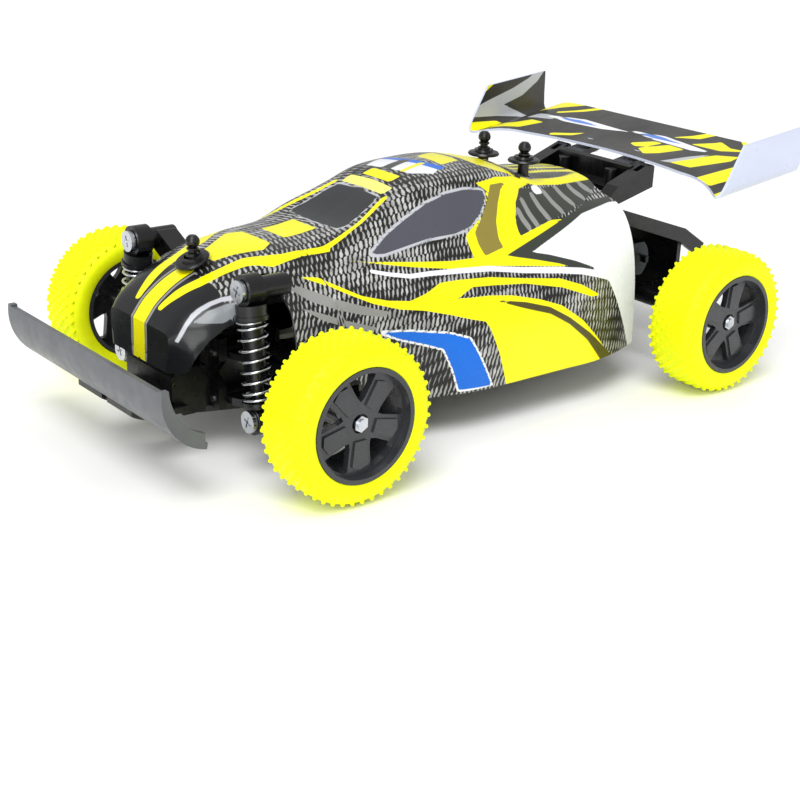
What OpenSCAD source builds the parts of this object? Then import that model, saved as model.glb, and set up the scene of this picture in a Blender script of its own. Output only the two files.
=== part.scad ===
// Off-road buggy, about 1:16. Millimetres, nose towards -Y, the car's left towards +X, ground at z = 0.

/* [Layout] */
// Distance between the axles
wheelbase = 209; // [205:1:212]
// Front axle, measured forwards from the middle of the car
front_axle_fwd = 93; // [92:0.5:94]
// Middle of one front tyre to the middle of the other
front_track = 163; // [162:0.5:166]
// Middle of one rear tyre to the middle of the other
rear_track = 153; // [151:0.5:156]

/* [Wheels] */
// Diameter over the tyre studs
tyre_d = 64; // [63:0.5:65]
// Width of a front tyre
front_tyre_w = 24.5; // [23:0.5:25]
// Width of a rear tyre
rear_tyre_w = 25.7; // [24:0.1:26]
// Diameter of the rim's outer lip
rim_d = 44; // [43:0.5:46]
// Number of spokes
spokes = 5; // [4:1:7]
// Diameter of the axles
axle_d = 4; // [3:0.5:4]

/* [Chassis] */
// Height of the floor's underside
floor_z = 14.5; // [14:0.5:15]
// Thickness of the floor
floor_t = 2.5; // [2:0.5:3]
// Width of the tub
tub_w = 96; // [90:1:98]

/* [Front suspension] */
// Length of each arm between its pivots
arm_len = 41; // [40:0.5:42]
// Height of the lower arm's pivots
arm_low_z = 21; // [20.8:0.1:21.5]
// Height of the upper arm's pivots
arm_up_z = 39.5; // [39.3:0.1:39.7]
// Diameter of the hinge pins
pin_d = 2.5; // [2:0.1:2.6]
// Running clearance round a pin, on the radius
fit = 0.05; // [0.02:0.01:0.09]
// Outer diameter of the shock springs
spring_d = 12; // [11.5:0.5:12.5]
// Spring wire
wire_d = 1; // [0.8:0.1:1.1]

/* [Steering] */
// Servo horn radius
horn_r = 13; // [12.5:0.5:13.5]
// Pin on the knuckle, behind the kingpin
steer_arm = 17; // [16:0.5:17.5]

/* [Gearbox] */
// Gear module
gear_m = 0.6; // [0.5:0.05:0.6]
// Teeth on the rear axle's gear
axle_teeth = 38; // [38:1:38]
// Teeth on the reduction gear's small wheel
small_teeth = 12; // [12:1:12]
// Teeth on the reduction gear's large wheel
large_teeth = 34; // [34:1:34]
// Teeth on the motor's pinion
pinion_teeth = 10; // [10:1:10]

/* [Body shell and wing] */
// Thickness of the body shell
shell_t = 1.2; // [1:0.1:1.4]
// Thickness of the wing sheet
wing_t = 1.2; // [1:0.1:1.5]
// Half the distance between the wing's end plates
wing_half = 80.5; // [79:0.5:82]

/* [Hidden] */
$fn = 48;

front_y = -front_axle_fwd;
rear_y = front_y + wheelbase;
axle_z = tyre_d / 2;
axle_r = axle_d / 2;
pin_r = pin_d / 2;
floor_top = floor_z + floor_t;
// Screw heads under the floor are sunk this deep, so the floor lies flat
head_sink = 1.45;
head_bore_r = 2.4;

// Front corner, left side
arm_in_x = 16;
arm_out_x = arm_in_x + arm_len;
kingpin_x = arm_out_x + 6;
kingpin_r = 1.5;
arm_y0 = front_y - 11;
arm_y1 = front_y + 11;
jaw_half = 3.7;
steer_z = 31;
steer_y = front_y + steer_arm;
rack_x = kingpin_x - arm_len;

// Shock absorber, left side: top and bottom eyes and the plane it works in
shock_top = [39.8, 71.1];
shock_foot = [47.4, 22.6];
shock_y0 = -111;
shock_y1 = -104;
shock_mid_y = (shock_y0 + shock_y1) / 2;
shock_len = norm(shock_top - shock_foot);
shock_lean = atan2(shock_foot.x - shock_top.x, shock_top.y - shock_foot.y);
stud_r = 2.2;
// The foot moves on an arc about the arm's pivot, so its eye is this much looser, on the radius
foot_play = 0.35;
seat_top = -11;
seat_foot = 7.2 - shock_len;

// Steering servo
servo_y = -55;
horn_pin_y = servo_y - horn_r;

// Gearbox: pod pivot, reduction gear and motor, each as [y, z]
pod_pivot = [66, 24];
mesh_low = gear_m * (axle_teeth + small_teeth) / 2;
mesh_high = gear_m * (large_teeth + pinion_teeth) / 2;
low_angle = 160;
high_angle = 70;
axle_at = [rear_y, axle_z];
layshaft_at = axle_at + mesh_low * [cos(low_angle), sin(low_angle)];
motor_at = layshaft_at + mesh_high * [cos(high_angle), sin(high_angle)];
case_x0 = -6.2;
case_x1 = 9.2;

// Body shell stations: y, crown height, then x and z of roof edge, shoulder, belt, bulge and sill
stations = [
    [-131, 52.5, 14, 52.5, 21, 52.3, 22, 48, 21, 42, 20, 36],
    [-127, 58, 14, 58, 22.5, 56.5, 26, 51, 28, 44, 28, 36],
    [-121, 63.2, 14, 63.2, 23, 61, 29.5, 55, 32, 46, 33, 36],
    [-107, 70.3, 15, 70, 24, 67.5, 33, 61, 38, 50, 40, 36],
    [-97, 74, 16, 73.5, 26, 71, 38, 65, 46, 57, 48, 30],
    [-83, 77, 17, 77, 26.5, 73, 38, 64.5, 48, 55, 50, 24],
    [-60, 79, 18, 79.3, 27.5, 75.7, 39, 67, 50, 57, 52, 18],
    [-46, 81.8, 17, 82, 26.5, 83, 38.5, 69.5, 53, 54, 53, 18],
    [-27, 91, 16.5, 91.3, 26, 89, 39, 70, 58, 52, 57, 18],
    [-15, 96, 18, 96, 26.5, 92.5, 39.5, 70, 61, 50, 60, 18],
    [5, 98.8, 21, 98.5, 27, 93, 40, 70, 62.5, 49, 61, 18],
    [28, 98.6, 21, 98, 27, 92, 41, 70, 62.5, 48, 61, 18],
    [42, 96, 20, 95, 25, 88.5, 41, 72, 62, 48, 61, 18],
    [56, 90.8, 18, 90.3, 25, 85, 42, 73, 60, 48, 61, 18],
    [72, 89.3, 17, 89, 25, 82.5, 42, 75, 56, 49, 58.5, 18],
    [90, 87.5, 15.5, 87.2, 24, 81.5, 41.5, 78, 52, 52, 52.5, 18]];
// Lower edge of the shell, with the front wheel arch: y, z
shell_edge = [[-131, 37], [-127.5, 38], [-124.3, 45], [-119.3, 51.2], [-113.5, 55], [-106.5, 58],
    [-99, 60], [-95, 59], [-93, 50], [-91.2, 46.8], [-83, 46.4], [-75, 42.5], [-71.5, 39], [-70, 28],
    [-68, 18], [92, 18]];
nose_y = -131;
shell_rows = concat([-129, -127, -124.3, -121, -119.3, -116.5, -113.5, -110, -106.5, -102.5, -99, -97,
    -95, -93, -91.2, -89, -86, -83, -79, -75, -71.5, -70, -68], [for (y = [-65 : 5 : -30]) y],
    [-27, -23, -19, -15, -10], [for (y = [-4 : 6 : 86]) y], [90]);
half_points = 14;

// Posts that carry the shell: x, y, foot and top heights, washer height and tilt
front_post = [0, -107, 46, 82.5];
rear_posts = [[13, 53, 71, 105.3], [-13, 53, 71, 105.3]];

// ---- Helpers ----

module on_side(s) {
    mirror([s > 0 ? 0 : 1, 0, 0]) children();
}

module rod_x(x0, x1, r) {
    translate([x0, 0, 0]) rotate([0, 90, 0]) cylinder(r = r, h = x1 - x0);
}

module rod_y(y0, y1, r) {
    translate([0, y0, 0]) rotate([-90, 0, 0]) cylinder(r = r, h = y1 - y0);
}

module rod_z(z0, z1, r) {
    translate([0, 0, z0]) cylinder(r = r, h = z1 - z0);
}

module block(low, high) {
    translate(low) cube(high - low);
}

// A drawing in Y and Z, given a thickness along X
module slab_x(x0, x1) {
    translate([x0, 0, 0]) rotate([90, 0, 90]) linear_extrude(x1 - x0) children();
}

// A drawing in X and Z, given a thickness along Y
module slab_y(y0, y1) {
    translate([0, y1, 0]) rotate([90, 0, 0]) linear_extrude(y1 - y0) children();
}

module slab_z(z0, z1) {
    translate([0, 0, z0]) linear_extrude(z1 - z0) children();
}

module both_sides() {
    children();
    mirror([1, 0, 0]) children();
}

// Two grids of points, rows by columns, closed into one thin solid
function grid_faces(rows, cols, base, flip) = [for (j = [0 : rows - 2], i = [0 : cols - 2], k = [0, 1])
    let (a = base + j * cols + i, b = a + 1, c = a + cols, d = c + 1,
        t = k == 0 ? [a, b, c] : [b, d, c])
    flip ? [t[2], t[1], t[0]] : t];
function strip_faces(p, q) = [for (i = [0 : len(p) - 2], k = [0, 1])
    k == 0 ? [p[i], q[i], p[i + 1]] : [p[i + 1], q[i], q[i + 1]]];
// Faces turned so that each is clockwise seen from outside
function outward(faces) = [for (f = faces) [for (i = [len(f) - 1 : -1 : 0]) f[i]]];
function flat(grid) = [for (row = grid) for (p = row) p];
function rim(rows, cols, base) = concat([for (i = [0 : cols - 1]) base + i],
    [for (j = [1 : rows - 1]) base + j * cols + cols - 1],
    [for (i = [cols - 2 : -1 : 0]) base + (rows - 1) * cols + i],
    [for (j = [rows - 2 : -1 : 0]) base + j * cols]);

module sheet(top, under) {
    rows = len(top);
    cols = len(top[0]);
    polyhedron(concat(flat(top), flat(under)), outward(concat(
        grid_faces(rows, cols, 0, false),
        grid_faces(rows, cols, rows * cols, true),
        strip_faces(rim(rows, cols, 0), rim(rows, cols, rows * cols)))));
}

// A helical spring on Z from z0 to z1, its wire swept as one polyhedron
module coil_spring(r, wire, z0, z1, turns) {
    sides = 6;
    per_turn = 16;
    rings = round(turns * per_turn);
    rise = z1 - z0 - wire;
    points = [for (k = [0 : rings], s = [0 : sides - 1])
        let (t = k / rings, a = 360 * turns * t, b = 360 * s / sides,
            z = z0 + wire / 2 + rise * spring_rise(t, turns),
            q = r - wire / 2 + wire / 2 * cos(b))
        [q * cos(a), q * sin(a), z + wire / 2 * sin(b)]];
    walls = [for (k = [0 : rings - 1], s = [0 : sides - 1], h = [0, 1])
        let (a = k * sides + s, b = k * sides + (s + 1) % sides, c = a + sides, d = b + sides)
        h == 0 ? [a, c, b] : [b, c, d]];
    caps = [[for (s = [0 : sides - 1]) s], [for (s = [sides - 1 : -1 : 0]) rings * sides + s]];
    polyhedron(points, outward(concat(walls, caps)));
}
// Share of the rise reached at t: one closed turn at each end, even pitch between
function spring_rise(t, turns) = let (e = 1 / turns, closed = 0.06)
    t < e ? closed * t / e : t > 1 - e ? 1 - closed * (1 - t) / e
    : closed + (1 - 2 * closed) * (t - e) / (1 - 2 * e);

module gear(teeth, tooth_at, x0, x1) {
    pitch_r = gear_m * teeth / 2;
    tip = pitch_r + 0.8 * gear_m;
    root = pitch_r - 1.15 * gear_m;
    slab_x(x0, x1) polygon([for (i = [0 : teeth - 1], k = [[-0.29, root], [-0.1, tip], [0.1, tip], [0.29, root]])
        let (a = tooth_at + 360 / teeth * (i + k[0])) k[1] * [cos(a), sin(a)]]);
}

// ---- Chassis ----

module chassis_tub() {
    half = tub_w / 2;
    wall = 2;
    color("#1b1b1d") difference() {
        union() {
            slab_z(floor_z, floor_top) polygon([[-half, -50], [-34, -66], [-22, -80], [-12, -112], [12, -112],
                [22, -80], [34, -66], [half, -50], [half, 46], [34, 62], [34, 84], [-34, 84], [-34, 62],
                [-half, 46]]);
            both_sides() block([half - wall, -48, floor_top], [half, 44, 30]);
            both_sides() block([18.4, -34, floor_top], [20.2, 28, 30]);
            block([-20.2, 28, floor_top], [20.2, 29.8, 27]);
            block([-20.2, -35.8, floor_top], [20.2, -34, 27]);
            both_sides() for (y = [-28, 18]) translate([26, y, 0]) rod_z(floor_top, 33, 2.4);
            slab_x(-7.2, 7.2) polygon([[-79.7, floor_top], [-71, floor_top], [-71, steer_z - 1.8],
                [steer_y - 2.1, steer_z - 1.8], [steer_y - 2.1, steer_z + 1.8], [steer_y + 0.6, steer_z + 1.8],
                [steer_y + 0.6, steer_z + 3.2], [-79.7, steer_z + 3.2]]);
            both_sides() block([20.6, 58, floor_top], [24.4, 72, 21]);
            both_sides() slab_x(20.6, 24.4) hull() {
                translate(pod_pivot) circle(5, $fn = 32);
                translate([60, 18]) square([12, 1]);
            }
        }
        block([-18, -34, floor_z - 1], [18, 28, floor_top + 1]);
        block([-19, 56, floor_z - 1], [19, 90, floor_top + 1]);
        translate([0, pod_pivot.x, pod_pivot.y]) rod_x(-30, 30, 2);
        block([34.2, 35, floor_z - 1], [37.8, 46, floor_top + 1]);
        for (p = [[-26, 80], [26, 80], [-8, -100], [-8, -88], [8, -100], [8, -88]]) translate([p[0], p[1], 0]) {
            rod_z(floor_z - 1, 20, 1.1);
            rod_z(floor_z - 1, floor_z + head_sink, head_bore_r);
        }
    }
}

module front_bulkhead() {
    color("#161617") difference() {
        union() {
            difference() {
                block([-12.5, -112, floor_top], [12.5, arm_y1, 46]);
                block([-10, -109.5, floor_top + 2.5], [10, arm_y1 + 1, 43.5]);
            }
            for (y = [[arm_y0 - 4, arm_y0 - 0.3], [arm_y1 + 0.3, arm_y1 + 2]])
                slab_y(y[0], y[1]) polygon([[-20, floor_top + 0.2], [20, floor_top + 0.2], [20, 26], [14.5, 31],
                    [20, 37], [20, 46], [-20, 46], [-20, 37], [-14.5, 31], [-20, 26]]);
            slab_x(-17, 17) polygon([[-112, floor_top], [-112, 36], [-124, 36], [-127, 33], [-127, 24],
                [-122, floor_top]]);
            both_sides() bumper_arm();
        }
        for (x = [-arm_in_x, arm_in_x], z = [arm_low_z, arm_up_z])
            translate([x, 0, z]) rod_y(arm_y0 - 5, arm_y1 + 3, pin_r);
        for (x = [-8, 8], y = [-100, -88]) translate([x, y, 0]) rod_z(floor_top - 1, 23, 1.1);
        translate([0, front_post[1], 0]) rod_z(40, 47, 1.2);
    }
}

// Rail from the bulkhead that carries the bumper from below
bumper_at = [-134, 43.9];
bumper_r = 22.4;
bumper_half = 59.2;
module bumper_arm() {
    slab_x(2, 20.5) intersection() {
        difference() {
            translate(bumper_at) circle(bumper_r + 2);
            translate(bumper_at) circle(bumper_r);
        }
        polygon([[-146.5, 30], [-146.5, 18], [-133, 18], [-133, 30]]);
    }
    slab_x(2, 20.5) polygon([[-138, 19.9], [-122, 19.9], [-122, 22.4], [-134, 22.4], [-138, 21.6]]);
}

module front_bumper() {
    wall = 2.4;
    color("#77797d") {
        slab_x(-bumper_half, bumper_half) intersection() {
            difference() {
                translate(bumper_at) circle(bumper_r, $fn = 96);
                translate(bumper_at) circle(bumper_r - wall, $fn = 96);
            }
            polygon([bumper_at, [-175, 48.5], [-175, 15], [-139, 15], [-138.5, 20]]);
        }
        both_sides() slab_x(bumper_half - wall, bumper_half) intersection() {
            difference() {
                translate(bumper_at) circle(bumper_r, $fn = 96);
                translate([-132, 48.5]) circle(21.5, $fn = 96);
            }
            polygon([[-175, 47], [-150, 47], [-138.8, 32], [-138.8, 15], [-175, 15]]);
        }
    }
}

tower_y0 = -101;
tower_y1 = -92;
module front_shock_tower() {
    color("#1d1d1f") difference() {
        union() {
            slab_y(tower_y0, tower_y1) polygon([[-12, 46], [12, 46], [12, 51], [24, 59], [40, 66.9], [40, 75.2],
                [36.5, 74.5], [23, 68.2], [10, 61], [-10, 61], [-23, 68.2], [-36.5, 74.5], [-40, 75.2],
                [-40, 66.9], [-24, 59], [-12, 51]]);
            both_sides() translate([shock_top.x, 0, shock_top.y]) rod_y(shock_y1 + 0.4, tower_y1 + 0.5, 4.2);
            both_sides() translate([shock_top.x, 0, shock_top.y]) rod_y(shock_y0 - 0.3, shock_y1 + 1, stud_r);
        }
        both_sides() translate([shock_top.x, 0, shock_top.y]) rod_y(shock_y0 - 1, shock_y1, 1);
    }
}

// Pan head screw along +Y from its head, cross recess in the head
module shock_screw() {
    difference() {
        union() {
            rod_y(-1.9, 0, 4.25);
            rod_y(0, 6, 1);
        }
        for (a = [20, 110]) rotate([0, a, 0]) block([-2.3, -2.5, -0.4], [2.3, -1, 0.4]);
    }
}

module shock_top_screws() {
    color("#cfd1d4") both_sides() translate([shock_top.x, shock_y0 - 0.3, shock_top.y]) shock_screw();
}

module front_hinge_pins() {
    color("#b9bcc0") for (x = [-arm_in_x, arm_in_x], z = [arm_low_z, arm_up_z])
        translate([x, 0, z]) rod_y(arm_y0 - 4.6, arm_y1 + 1.9, pin_r);
}

// Post with a ball top, turned about Z
module body_post(foot, top) {
    rotate_extrude() polygon([[0, foot], [4.2, foot], [4.2, foot + 1.8], [2.4, foot + 2.6], [2.4, top - 9],
        [2.7, top - 8.4], [2.7, top - 7.2], [1.7, top - 6.8], [1.7, top - 6.2], [2.4, top - 5.8],
        [2.4, top - 5.2], [1.7, top - 4.8], [2.2, top - 4.3], [2.75, top - 3.4], [2.8, top - 2.4],
        [2.4, top - 1.2], [1.5, top - 0.3], [0, top]]);
}

module body_posts() {
    color("#141415") {
        translate([front_post[0], front_post[1], 0]) body_post(front_post[2], front_post[3]);
        for (p = rear_posts) translate([p[0], p[1], 0]) body_post(p[2], p[3]);
    }
}

// Washer on its underside's centre
module washer() {
    difference() {
        rotate_extrude() polygon([[0, 0], [6.8, 0], [7.1, 0.6], [6.6, 1.3], [4.4, 1.7], [4.2, 2.6], [0, 2.6]]);
        rod_z(-1, 4, 2.75);
    }
}

hood_slope = 23;
module post_washers() {
    color("#161617") {
        translate([0, front_post[1], 72]) rotate([hood_slope, 0, 0]) difference() {
            washer();
            rotate([-hood_slope, 0, 0]) rod_z(-5, 8, 2.9);
        }
        translate([13, 53, 96.4]) washer();
        translate([-13, 53, 94.6]) washer();
    }
}

// ---- Body shell ----

function slope(a, b, c) = let (h = b[0] - a[0], k = c[0] - b[0]) ((b - a) / h * k + (c - b) / k * h) / (h + k);
function station(y) = let (
    n = len(stations) - 1,
    i = max([for (k = [0 : n - 1]) if (k == 0 || stations[k][0] <= y) k]),
    p = stations[i], q = stations[i + 1],
    h = q[0] - p[0], f = (y - p[0]) / h,
    m = i > 0 ? slope(stations[i - 1], p, q) : (q - p) / h,
    w = i < n - 1 ? slope(p, q, stations[i + 2]) : (q - p) / h)
    (2 * pow(f, 3) - 3 * pow(f, 2) + 1) * p + (pow(f, 3) - 2 * pow(f, 2) + f) * h * m
    + (3 * pow(f, 2) - 2 * pow(f, 3)) * q + (pow(f, 3) - pow(f, 2)) * h * w;
// Smooth half section from the crown to the sill, through the station's control points
function half_section(y) = let (
    s = station(y),
    c = concat([[0, s[1]]], [for (k = [1 : 5]) [s[2 * k], s[2 * k + 1]]]),
    m = concat([c[0]], [for (k = [1 : 3]) (c[k] + c[k + 1]) / 2], [c[5]]))
    concat([for (k = [1 : 4], j = [0 : 11]) let (t = j / 12)
        pow(1 - t, 2) * m[k - 1] + 2 * t * (1 - t) * c[k] + t * t * m[k]], [c[5]]);
function girths(p) = [for (i = 0, s = 0; i < len(p); i = i + 1, s = i < len(p) ? s + norm(p[i] - p[i - 1]) : s) s];
// The section cut at the lower edge and divided evenly
function trimmed(y) = let (
    p = half_section(y), g = girths(p),
    stop = lookup(lookup(y, shell_edge), [for (i = [0 : len(p) - 1]) if (i > 14) [p[i][1], g[i]]]),
    xs = [for (i = [0 : len(p) - 1]) [g[i], p[i][0]]],
    zs = [for (i = [0 : len(p) - 1]) [g[i], p[i][1]]])
    [for (k = [0 : half_points - 1]) let (s = stop * k / (half_points - 1)) [lookup(s, xs), lookup(s, zs)]];
function offset_in(p, t) = [for (i = [0 : len(p) - 1]) let (
    a = p[max(i - 1, 0)], b = p[min(i + 1, len(p) - 1)],
    d = i == 0 ? [1, 0] : (b - a) / norm(b - a)) p[i] + t * [d[1], -d[0]]];
// A whole row of the shell across the car
function row(y, t) = let (h = offset_in(trimmed(y), t), n = len(h) - 1)
    concat([for (i = [n : -1 : 1]) [-h[i][0], y, h[i][1]]], [for (p = h) [p[0], y, p[1]]]);

module shell_solid() {
    ys = concat([nose_y], shell_rows);
    outer = [for (y = ys) row(y, 0)];
    inner = [for (y = concat([nose_y + shell_t], shell_rows)) row(y, shell_t)];
    rows = len(ys);
    cols = 2 * half_points - 1;
    base = rows * cols;
    left = [for (j = [0 : rows - 1]) j * cols + cols - 1];
    right = [for (j = [0 : rows - 1]) j * cols];
    back = [for (i = [0 : cols - 1]) (rows - 1) * cols + i];
    polyhedron(concat(flat(outer), flat(inner)), outward(concat(
        grid_faces(rows, cols, 0, false),
        grid_faces(rows, cols, base, true),
        strip_faces(concat([0], left), [for (k = concat([0], left)) k + base]),
        strip_faces([for (i = [cols - 1 : -1 : 0]) back[i]], [for (i = [cols - 1 : -1 : 0]) back[i] + base]),
        strip_faces([for (j = [rows - 1 : -1 : 0]) right[j]], [for (j = [rows - 1 : -1 : 0]) right[j] + base]),
        [[for (i = [cols - 1 : -1 : 0]) i], [for (i = [0 : cols - 1]) base + i]])));
}

module body_shell() {
    color("#d8e020") difference() {
        shell_solid();
        both_sides() slab_y(tower_y0 - 0.8, tower_y1 + 0.8)
            polygon([[22, 40], [22, 69.4], [37, 76.4], [50, 76.4], [50, 40]]);
        translate([0, front_post[1], 0]) rod_z(60, 80, 3.2);
        for (p = rear_posts) translate([p[0], p[1], 0]) rod_z(80, 100, 3.2);
    }
}

// ---- Rear structure ----

module rear_frame() {
    color("#161617") difference() {
        union() {
            slab_y(78, 82) polygon([[-32, floor_top], [-20, floor_top], [-20, 52], [-14, 58], [14, 58], [20, 52],
                [20, floor_top], [32, floor_top], [32, 60], [30, 77], [-30, 77], [-32, 60]]);
            block([-20, 46, 68], [20, 78, 71]);
            both_sides() slab_x(17.5, 20) polygon([[50, 68], [78, 68], [78, 54], [74, 54]]);
        }
        for (x = [-26, 26]) translate([x, 80, 0]) rod_z(floor_z, 24, 1.1);
        for (p = rear_posts) translate([p[0], p[1], 0]) rod_z(66, 73, 1.2);
        for (x = [-18, 18]) translate([x, 0, 70]) rod_y(76, 90, 1.1);
    }
}

arm_x0 = 23;
arm_x1 = 30.3;
module wing_mount() {
    color("#1a1b1c") difference() {
        union() {
            slab_y(82, 86) polygon([[-30.3, 64], [30.3, 64], [30.3, 73], [29.5, 78.5], [-29.5, 78.5], [-30.3, 73]]);
            both_sides() slab_x(arm_x0, arm_x1) polygon([[85, 70], [92, 74.6], [119, 81.2], [119, 90.8],
                [117.5, 91.6], [96, 84], [91, 79], [85, 78.5]]);
            slab_x(-arm_x0, arm_x0) polygon([[104, 80], [110.5, 81.6], [110.5, 89.8], [113, 90.6], [113, 79.5],
                [104, 77.5]]);
            for (x = [-15, 15]) translate([x, 0, 0]) {
                translate([0, 107, 0]) rod_z(79, 88, 2.8);
                slab_x(-5, 5) polygon([[112, 87.5], [112, 90.4], [130, 93.4], [130, 91.4]]);
            }
        }
        both_sides() block([25.2, 110, 87.6], [28.2, 115.4, 92]);
        for (x = [-18, 18]) translate([x, 0, 70]) rod_y(80, 90, 1.2);
        for (x = [-15, 15]) translate([x, 126, 0]) rod_z(85, 100, 1.3);
    }
}

// Wing sheet: across the car the blade dips near its ends and turns up into the end plates
blade_mid_y = 118;
function blade_z(y) = 93.6 + 0.216 * (y - blade_mid_y);
function gutter_z(y) = 88.7 + 0.125 * (y - 104);
function plate_top_z(y) = 110 + 0.12 * (y - 116);
// Each column: x, share of the dip, share of the plate's height, lean of the sheet in degrees
wing_columns = [[0, 0, 0, 0], [18, 0, 0, 0], [36, 0, 0, 0], [50, 0, 0, 0], [60, 0.03, 0, -2], [66, 0.14, 0, -8],
    [71, 0.42, 0, -17], [75, 0.8, 0, -16], [77.6, 0.98, 0, -2], [79.2, 1, 0.02, 30], [wing_half - 0.5, 1, 0.07, 65],
    [wing_half, 1, 0.15, 85], [wing_half + 0.2, 1, 0.4, 90], [wing_half + 0.2, 1, 0.7, 90],
    [wing_half + 0.2, 1, 1, 90]];
function wing_front(c) = c[2] > 0 ? 104 + 12 * c[2] : c[0] < 50 ? blade_mid_y - 0.0016 * pow(c[0], 2)
    : blade_mid_y - 4 - 10 * pow((c[0] - 50) / 29.2, 2);
wing_rear = 156;
function wing_point(c, f) = let (
    y = wing_front(c) + (wing_rear - 0.7 * c[2] - wing_front(c)) * f,
    low = blade_z(y) + (gutter_z(y) - blade_z(y)) * c[1])
    [c[0], y, low + (plate_top_z(y) - low) * c[2]];
function wing_under(c, f) = wing_point(c, f) + wing_t * [sin(c[3]), 0, -cos(c[3])];

module rear_wing() {
    n = len(wing_columns) - 1;
    columns = concat([for (i = [n : -1 : 1]) let (c = wing_columns[i]) [-c[0], c[1], c[2], c[3]]], wing_columns);
    fractions = [for (k = [0 : 6]) k / 6];
    color("#c9d31c") difference() {
        union() {
            sheet([for (f = fractions) [for (c = columns) wing_mirrored(c, f, 0)]],
                [for (f = fractions) [for (c = columns) wing_mirrored(c, f, 1)]]);
            for (x = [-15, 15]) translate([x, 126, 0]) rod_z(93.4, 94.8, 3.2);
        }
        for (x = [-15, 15]) translate([x, 126, 0]) rod_z(90, 94.8, 1.1);
    }
}
function wing_mirrored(c, f, under) = let (
    m = [abs(c[0]), c[1], c[2], c[3]],
    p = under == 1 ? wing_under(m, f) : wing_point(m, f))
    [c[0] < 0 ? -p[0] : p[0], p[1], p[2]];

cover_half = 35;
module tail_cover() {
    color("#19191a") {
        slab_x(-cover_half, cover_half) polygon([[93, 75.3], [140, 60], [154.5, 51], [153.5, 48.8], [139, 57.9],
            [93, 73.2]]);
        slab_x(-22.5, 22.5) polygon([[86, 77.6], [93.5, 75.1], [93.5, 73], [86, 75.4]]);
        both_sides() slab_x(cover_half - 2, cover_half) polygon([[93, 75.3], [140, 60], [154.5, 51], [151, 45],
            [137, 54], [93, 69]]);
        translate([-15, 100, 0]) rod_z(68.6, 72, 4.8);
        slab_y(138, 140.5) polygon([[-24, 24], [24, 24], [33, 34], [33, 58.8], [-33, 58.8], [-33, 34]]);
        translate([-15, 100, 0]) rod_z(64, 69, 2.8);
    }
}

// ---- Power and control ----

module battery_pack() {
    color("#2a6fb0") {
        for (x = [-7.3, 7.3]) translate([x, 0, 24.6]) rod_y(-31, 21, 7.2);
        block([-7, -31, 17.4], [7, 21, 24]);
    }
    color("#e8e8e8") block([-5, 21, 21], [5, 26.5, 27]);
}

module battery_cover() {
    color("#202022") difference() {
        block([-17.8, -33.8, floor_z], [17.8, 27.8, floor_z + 2]);
        for (y = [-26, -20, -14, -8]) block([-12, y, floor_z - 1], [12, y + 2, floor_z + 0.6]);
        translate([0, 24, 0]) {
            rod_z(floor_z - 1, 20, 1.3);
            rod_z(floor_z - 1, floor_z + head_sink, head_bore_r);
        }
    }
}

board_z = 33;
module circuit_board() {
    color("#1d6b3a") difference() {
        block([-29, -32, board_z], [29, 22, board_z + 1.6]);
        for (x = [-26, 26], y = [-28, 18]) translate([x, y, 0]) rod_z(30, 40, 1.1);
    }
    color("#202020") {
        block([-6, -6, board_z + 1.6], [6, 6, board_z + 3.4]);
        block([12, -20, board_z + 1.6], [19, -12, board_z + 4]);
        block([-22, -4, board_z + 1.6], [-14, 12, board_z + 9]);
        for (y = [6, 13]) translate([16, y, 0]) rod_z(board_z + 1.6, board_z + 9, 2.8);
    }
    color("#e9e6da") for (x = [-18, -4, 8]) block([x, -30, board_z + 1.6], [x + 9, -24, board_z + 7]);
}

servo_half = 6.5;
module steering_servo() {
    color("#232a3a") difference() {
        union() {
            block([-servo_half, -62, floor_top], [servo_half, -38, 31]);
            block([-servo_half, -65.5, 26], [servo_half, -36, 28]);
        }
        translate([0, servo_y, 0]) rod_z(26, 32, 2.2 + fit);
    }
}

module pan_screw(z, length) {
    difference() {
        union() {
            translate([0, 0, z - 1.4]) cylinder(r = 2.3, h = 1.4);
            rod_z(z, z + length, 1.1);
        }
        for (a = [0, 90]) rotate([0, 0, a]) block([-1.4, -0.3, z - 2], [1.4, 0.3, z - 0.7]);
    }
}

module frame_screws() {
    color("#c4c6ca") {
        for (x = [-26, 26]) translate([x, 80, 0]) pan_screw(floor_z + head_sink, 8);
        for (x = [-8, 8], y = [-100, -88]) translate([x, y, 0]) pan_screw(floor_z + head_sink, 7);
        translate([0, 24, 0]) pan_screw(floor_z + head_sink, 0.95);
        for (x = [-18, 18]) translate([x, 86, 70]) rotate([90, 0, 0]) pan_screw(0, 7);
        for (x = [-15, 15]) translate([x, 126, 0]) pan_screw(89.9, 4.4);
        for (x = [-26, 26], y = [-28, 18]) translate([x, y, 0]) mirror([0, 0, 1]) pan_screw(-board_z - 1.6, 1.6);
    }
}

module pod_hinge_pin() {
    color("#b9bcc0") translate([0, pod_pivot.x, pod_pivot.y]) rod_x(-25.4, 25.4, 2);
}

module power_switch() {
    color("#2b2b2d") {
        block([34.6, 36, floor_z + 0.2], [37.4, 41, floor_top + 1]);
        block([33, 35, floor_top + 0.3], [39, 43, floor_top + 2]);
    }
}

// ---- Steering ----

module servo_horn() {
    color("#e4e4e0") {
        translate([0, servo_y, 0]) rod_z(28, 36.4, 2.2);
        translate([0, servo_y, 0]) rod_z(33.4, 36.4, 4);
        slab_z(33.6, 35.6) hull() {
            translate([0, servo_y]) circle(3.4, $fn = 32);
            translate([0, horn_pin_y]) circle(2.4, $fn = 32);
        }
        translate([0, horn_pin_y, 0]) rod_z(29.8, 34, 1.5);
    }
}

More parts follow.
